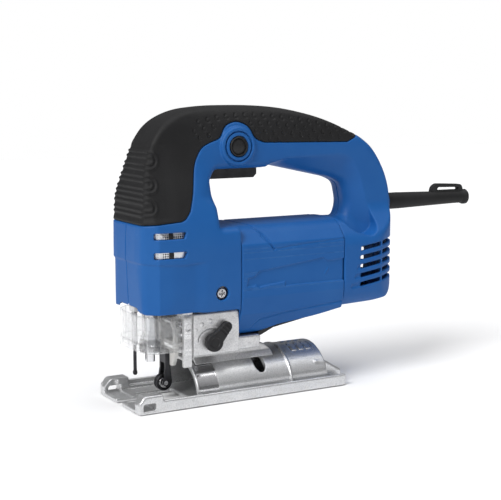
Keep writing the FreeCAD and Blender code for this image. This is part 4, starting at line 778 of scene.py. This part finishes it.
def gearCasting():
    low, high, _ = spot("gear_housing")
    grid = Block(low - 1, high + 1, casting["step"])
    width = np.abs(grid.y)
    radius, gearZ = casting["caseRadius"], casting["gearZ"]
    shape = grid.box(*casting["plates"])
    for sign in (-1, 1):
        corners = [(sign * corner[0],) + corner[1:] for corner in casting["post"]]
        post = both(grid.across(rounded(corners)), np.abs(grid.x + 44.5) - 3.5, 0.8)
        shape = either(shape, post, 0.3)
    shape = either(shape, grid.box(*casting["frontWall"]))
    shape = either(shape, grid.rod("x", (0, gearZ), radius + 1.5, -45, -25.2, 1), 1)
    shape = either(shape, grid.box(*casting["rearWall"]), 1)
    shape = either(shape, both(grid.box(*casting["cheeks"]), casting["cheeksInside"] - width), 1)
    for near, far, corner, fillet in casting["blocks"]:
        shape = either(shape, grid.box(near, far, corner), fillet)
    for kind, numbers, edge in casting["hollows"]:
        tool = grid.rod(*numbers) if kind == "rod" else grid.box(*numbers)
        shape = without(shape, tool, edge)
    # dark joint between post and plate, raised arc and plain marks round the lever
    joint = both(np.abs(grid.x - casting["gap"]) - 0.6, 26.5 - width)
    shape = without(shape, both(joint, grid.z - 64), 0.3)
    arc = both(grid.side(casting["arc"], closed=False) - 0.7, width - 29.6, 0.3)
    shape = either(shape, both(arc, 28.5 - width), 0.4)
    for place, size in casting["marks"]:
        shape = either(shape, both(grid.rod("y", place, size), np.abs(width - 29) - 0.6, 0.2), 0.3)
    # plain slotted screw heads in the posts
    aside, height, ring, headRadius, slotHalf = casting["screwHeads"]
    for sign in (-1, 1):
        seat = grid.rod("x", (sign * aside, height), ring, -60, -47.2)
        slot = grid.rod("x", (sign * aside, height), 2.4, -60, -46.6)
        slot = both(slot, np.abs(grid.z - height) - slotHalf)
        head = headRadius - np.hypot(grid.y - sign * aside, grid.z - height)
        shape = without(without(shape, both(seat, head)), slot)
    shape = both(shape, width - 29.7)
    return grid.piece("gearCasting", shape, "alloy", "body", ["gear_housing"], "cast_alloy")


gearCasting()


# Small parts round the blade, the lever, the button and the screws.

small = {
    "step": 0.28,
    "lever": 46, "leverHub": 6.5, "leverReach": 14, "leverHalf": (5.2, 3.6), "leverFace": (-34.3, -29.3),
    "yoke": [(13, 59.8, 0.5), (13, 33, 2), (8, 24.4, 1.5)], "yokeInside": [(9.5, 66), (9.5, 36, 2)],
    "shield": [(-76.5, 13, 3), (-73.5, 22, 4), (-67.5, 28, 5), (-49, 28, 0.3)], "shieldWall": 1.7,
    "fork": [(-50.6, 36, 0.4), (-47.4, 36, 0.4), (-46.6, 22, 3), (-45.4, 11, 2), (-50, 8.9, 2),
             (-52.6, 11, 2), (-50.6, 22, 3)],
    "rollerRadius": 6, "rollerFace": 3.8, "guardRadius": 1.2, "guardSleeve": (2, 41, 63.8),
    "grillePost": 57.4, "screwHead": 3.6, "screwShank": 1.9, "crossReach": 2.2,
}


def orbitalLever():
    low, high, _ = spot("orbital_lever")
    grid = Block(low - 1, high + 1, small["step"])
    x, z = grid.x - casting["hub"][0], grid.z - casting["hub"][1]
    turn = math.radians(small["lever"])
    along, over = x * math.cos(turn) + z * math.sin(turn), z * math.cos(turn) - x * math.sin(turn)
    share = np.clip(along / small["leverReach"], 0, 1)
    hub, tip = small["leverHalf"]
    arm = np.sqrt((along - share * small["leverReach"]) ** 2 + over ** 2) - hub - (tip - hub) * share
    arm = np.minimum(arm, np.sqrt(x ** 2 + z ** 2) - small["leverHub"])
    front, back = small["leverFace"]
    shape = both(arm, np.abs(grid.y - (front + back) / 2) - (back - front) / 2, 1.3)
    # the arm stands clear of the raised arc on the casting
    shape = without(shape, both(8.2 - np.sqrt(x ** 2 + z ** 2), -30.2 - grid.y), 0.3)
    dish = both(np.sqrt(x ** 2 + z ** 2) - 3.6, grid.y - front - 0.7, 0.4)
    shape = without(shape, dish, 0.4)
    for line in (9.5, 12, 14.5):
        shape = without(shape, both(np.abs(along - line) - 0.35, grid.y - front - 0.6), 0.3)
    return grid.piece("orbitalLever", shape, "black", "orbital_lever", ["orbital_lever"], "black_plastic")


def stirrup():
    low, high, _ = spot("pendulum_lever")
    grid = Block(low - 1, high + 1, small["step"] * 1.3)
    outer = grid.across(rounded(mirrored(small["yoke"])))
    inner = grid.across(rounded(mirrored(small["yokeInside"])))
    shape = both(without(outer, inner, 0.4), np.abs(grid.x + 45.8) - 1.6, 0.5)
    for sign in (-1, 1):
        ear = grid.rod("y", pivot, 5, sign * 11.25 - 1.75, sign * 11.25 + 1.75, 0.4)
        ear = both(ear, grid.x + 39)
        shape = either(shape, ear, 0.4)
    shape = either(shape, grid.box((-45, -9.5, 38), (-35, 9.5, 41), 0.5), 0.5)
    shape = without(shape, grid.rod("y", pivot, 2.54), 0.2)
    return grid.piece("stirrup", shape, "white", "pendulum", ["pendulum_lever"], "white_plastic")


def guideRoller():
    low, high, _ = spot("guide_roller")
    grid = Block(low - 0.8, high + 0.8, small["step"])
    around = np.sqrt((grid.x - rollerPlace[0]) ** 2 + (grid.z - rollerPlace[1]) ** 2)
    shape = both(around - small["rollerRadius"], np.abs(grid.y) - 2.5, 0.5)
    shape = without(shape, both(1.5 - np.abs(grid.y), np.abs(around - 4.2) - 0.5), 0.2)
    shape = without(shape, both(np.abs(grid.y) - 0.7, 5.3 - around), 0.3)
    shape = without(shape, around - 1.55)

    def isFace(x, y, z):
        return np.hypot(x - rollerPlace[0], z - rollerPlace[1]) < small["rollerFace"]

    return grid.piece("guideRoller", shape, "darkSteel", "roller", ["guide_roller"], "steel",
                      ("bright", isFace))


def rollerFork():
    low, high, _ = spot("roller_fork")
    grid = Block(low - 0.8, high + 0.8, small["step"])
    arm = grid.side(rounded(small["fork"]))
    cheeks = both(arm, np.abs(np.abs(grid.y) - 4.0) - 1.1, 0.4)
    bridge = both(both(arm, 26 - grid.z), np.abs(grid.y) - 5.1, 0.4)
    hole = np.hypot(grid.x - rollerPlace[0], grid.z - rollerPlace[1]) - 1.5
    shape = without(either(cheeks, bridge), hole)
    return grid.piece("rollerFork", shape, "darkSteel", "pendulum", ["roller_fork"], "blackened_steel")


def airGrilles():
    # a plate just behind each pair of head windows, with a dark post across its middle
    grid = Block((-72, -32, 99), (-44, 32, 125), 0.4)
    body, _, _ = shellRegions(grid)
    shape = both(np.abs(body + shells["wall"] + 0.6) - 0.4, 16 - np.abs(grid.y))
    shape = both(shape, grid.box((-71, -40, 100), (-45.3, 40, 124)), 0.2)
    bar = both(np.abs(grid.x + small["grillePost"]) - 1.5, np.abs(body + shells["wall"]) - 0.9)
    shape = either(shape, both(bar, both(np.abs(grid.z - 112) - 11, 16 - np.abs(grid.y))), 0.1)

    def isPost(x, y, z):
        return np.abs(x + small["grillePost"]) < 1.7

    return grid.piece("airGrilles", shape, "mesh", "body", ["air_grilles"], "silver_mesh",
                      ("black", isPost))


def chipShield():
    low, high, _ = spot("chip_shield")
    grid = Block(low - 1, high + 1, 0.4)
    outer = grid.top(rounded(bothSides(small["shield"])))
    # two steps in the front and a rim along the lower edge
    inset = 0.5 * ease(grid.z, 44, 44.8) + 0.5 * ease(np.abs(grid.y), 15.4, 14.8)
    rim = 0.7 * ease(grid.z, 40.6, 40.0)
    shape = without(outer + inset, outer + small["shieldWall"] + inset + rim)
    shape = both(shape, np.abs(grid.z - 51) - 12.5, 0.5)
    back = both(np.abs(grid.y) - 26.4, -52 - grid.x)
    shape = both(without(shape, back), grid.x + 49, 0.4)
    return grid.piece("chipShield", shape, "clear", "body", ["chip_shield"], "clear_plastic")


def wireGuard():
    low, high, middle = spot("wire_guard")
    grid = Block(low - 0.8, high + 0.8, small["step"])
    at = (middle[0], middle[1])
    shape = grid.rod("z", at, small["guardRadius"], low[2], high[2], 0.8)
    shape = either(shape, grid.rod("z", at, 1.6, low[2], low[2] + 3.4, 1.5), 0.5)
    shape = either(shape, grid.rod("z", at, *small["guardSleeve"], 0.5), 0.2)

    def isSleeve(x, y, z):
        return z > small["guardSleeve"][1] - 0.1

    return grid.piece("wireGuard", shape, "darkSteel", "body", ["wire_guard"], "steel",
                      ("steel", isSleeve))


def lockButton():
    low, high, _ = spot("lock_button")
    grid = Block(low - 0.8, high + 0.8, small["step"])
    ring = np.sqrt((grid.x - bossX) ** 2 + (grid.z - bossZ) ** 2)
    shape = both(ring - 6.9, np.abs(grid.y - low[1] - 3.5) - 3.5, 0.9)
    shape = both(shape, low[1] + 0.045 * ring ** 2 * (ring < 5.6) - grid.y)
    shape = without(shape, both(np.abs(ring - 5.7) - 0.35, grid.y - low[1] - 1.6), 0.2)
    shape = either(shape, grid.rod("y", (bossX, bossZ + 2), 2, low[1] + 5, high[1]))
    return grid.piece("lockButton", shape, "black", "lock_button", ["lock_button"], "black_plastic")


def crossScrews():
    # one screw, copied to each place; the head is round with a cross recess
    grid = Block((-4, -22, -4), (4, 3.4, 4), small["step"])
    head = grid.rod("y", (0, 0), small["screwHead"], 0, 2.6, 0.7)
    shape = either(head, grid.rod("y", (0, 0), small["screwShank"], -20, 1))
    wide, reach = 0.55 + 0.12 * (grid.y - 1), small["crossReach"]
    upright = both(np.abs(grid.x) - wide, np.abs(grid.z) - reach)
    level = both(np.abs(grid.z) - wide, np.abs(grid.x) - reach)
    cross = np.minimum(upright, level)
    shape = without(shape, both(cross, 1.0 - grid.y), 0.15)
    shape = without(shape, both(np.hypot(grid.x, grid.z) - 0.9, 0.6 - grid.y), 0.2)
    points, quads = grid.surface(shape)
    places = [(x, 12.0, z, 1) for x, z in handleScrews]
    places += [(caseScrew[0], 28.8, caseScrew[1], 1), (caseScrew[0], -28.8, caseScrew[1], -1)]
    shortShank = 9               # the two case screws are shorter than the handle's
    allPoints, allQuads = [], []
    for x, y, z, way in places:
        moved = points * (1, way, 1) if way > 0 else points * (-1, way, 1)
        if abs(y) > 20:
            shank = np.clip(moved[:, 1], -shortShank, shortShank)
            moved = np.stack([moved[:, 0], shank, moved[:, 2]], axis=1)
        allQuads.append(quads + sum(len(part) for part in allPoints))
        allPoints.append(moved + (x, y, z))
    return shown("crossScrews", np.concatenate(allPoints) * millimetre, np.concatenate(allQuads),
                 "steel", "body", ["housing_screws"])


orbitalLever()
stirrup()
rollerFork()
airGrilles()
guideRoller()
chipShield()
wireGuard()
lockButton()
crossScrews()


# CAD nodes that show or can be seen through an opening keep their shape and take a finish and soft edges.

keptFinish = {
    "steel": "base_bolt gear_pin plunger roller_pin pendulum_pivot_pin armature_shaft crank_pin drive_gear "
             "orbital_cam brush_springs trigger_pin trigger_spring lock_button_spring bevel_clamp_shoe "
             "cord_clamp_screws",
    "bright": "front_bearing rear_bearing blade_clamp",
    "darkSteel": "clamp_collar",
    "black": "under_cover trigger cooling_fan",
    "dark": "switch terminal_block brush_holders cord_clamp",
    "rubber": "cord_sleeve",
    "white": "suppression_capacitor",
    "lamination": "armature_core stator_core",
    "copper": "armature_winding_front armature_winding_rear field_coils commutator",
    "bronze": "lower_bush upper_bush",
    "carbon": "carbon_brushes",
}
softWidths = {"trigger": 1.3, "under_cover": 0.7, "cord_sleeve": 0.6}
for look, names in keptFinish.items():
    for name in names.split():
        thing = nodes[name]
        thing.data.materials.clear()
        thing.data.materials.append(finishes[look])
        if name.endswith(("spring", "springs")):
            continue
        soft = thing.modifiers.new("softEdges", "BEVEL")
        soft.width, soft.segments, soft.limit_method = softWidths.get(name, 0.3) * millimetre, 3, "ANGLE"
        soft.angle_limit = math.radians(35)
print("kept nodes finished")


# Stage: pale floor, soft lights and the camera.

stage = {"floorHalf": 2.5, "camera": (-0.4072, -0.7409, 0.2204), "azimuth": -30, "pitch": 8, "focal": 86.2}

floorMesh = bpy.data.meshes.new("floor")
half = stage["floorHalf"]
floorCorners = [(-half, -half, 0), (half, -half, 0), (half, half, 0), (-half, half, 0)]
floorMesh.from_pydata(floorCorners, [], [(0, 1, 2, 3)])
floor = bpy.data.objects.new("floor", floorMesh)
floor.location.z = -0.0004
bpy.context.scene.collection.objects.link(floor)
floorLook = Look("paleFloor", Specular_IOR_Level=0.1)
paler, palest = (0.93, 0.93, 0.93, 1), (0.96, 0.96, 0.96, 1)
floorLook.feed("Base Color", floorLook.blend(floorLook.noise(6), paler, palest))
floorLook.feed("Roughness", 0.75 + floorLook.noise(40) * 0.1)
floorMesh.materials.append(floorLook.material)

world = bpy.data.worlds.new("studio")
bpy.context.scene.world = world
world.use_nodes = True
sky = world.node_tree
facing = sky.nodes.new("ShaderNodeTexCoord")
heights = sky.nodes.new("ShaderNodeSeparateXYZ")
shade = sky.nodes.new("ShaderNodeValToRGB")
backdrop = sky.nodes.new("ShaderNodeMix")
backdrop.data_type = "RGBA"
rays = sky.nodes.new("ShaderNodeLightPath")
for element, (position, grey) in zip(shade.color_ramp.elements, ((0.35, 0.16), (0.95, 0.62))):
    element.position, element.color = position, (grey, grey, grey * 1.02, 1)
sky.links.new(facing.outputs["Generated"], heights.inputs[0])
sky.links.new(heights.outputs["Z"], shade.inputs[0])
sky.links.new(rays.outputs["Is Camera Ray"], backdrop.inputs[0])
sky.links.new(shade.outputs[0], backdrop.inputs[6])
backdrop.inputs[7].default_value = (1, 1, 1, 1)
sky.links.new(backdrop.outputs[2], sky.nodes["Background"].inputs["Color"])
sky.nodes["Background"].inputs["Strength"].default_value = 1.0


def softSun(name, comesFrom, spreadAngle, strength):
    light = bpy.data.lights.new(name, "SUN")
    light.angle, light.energy = math.radians(spreadAngle), strength
    lamp = bpy.data.objects.new(name, light)
    lamp.rotation_euler = Vector(comesFrom).to_track_quat("Z", "Y").to_euler()
    bpy.context.scene.collection.objects.link(lamp)


softSun("keySun", (-1.0, -0.4, 0.85), 25, 2.3)
softSun("topSun", (0.2, -0.15, 1.0), 45, 1.1)

cameraData = bpy.data.cameras.new("camera")
cameraData.lens, cameraData.sensor_width = stage["focal"], 36
camera = bpy.data.objects.new("camera", cameraData)
camera.location = stage["camera"]
around, up = math.radians(stage["azimuth"]), math.radians(stage["pitch"])
back = Vector((math.sin(around) * math.cos(up), -math.cos(around) * math.cos(up), math.sin(up)))
camera.rotation_euler = (-back).to_track_quat("-Z", "Y").to_euler()
bpy.context.scene.collection.objects.link(camera)
bpy.context.scene.camera = camera
bpy.context.scene.view_settings.view_transform = "Standard"
print("stage set")
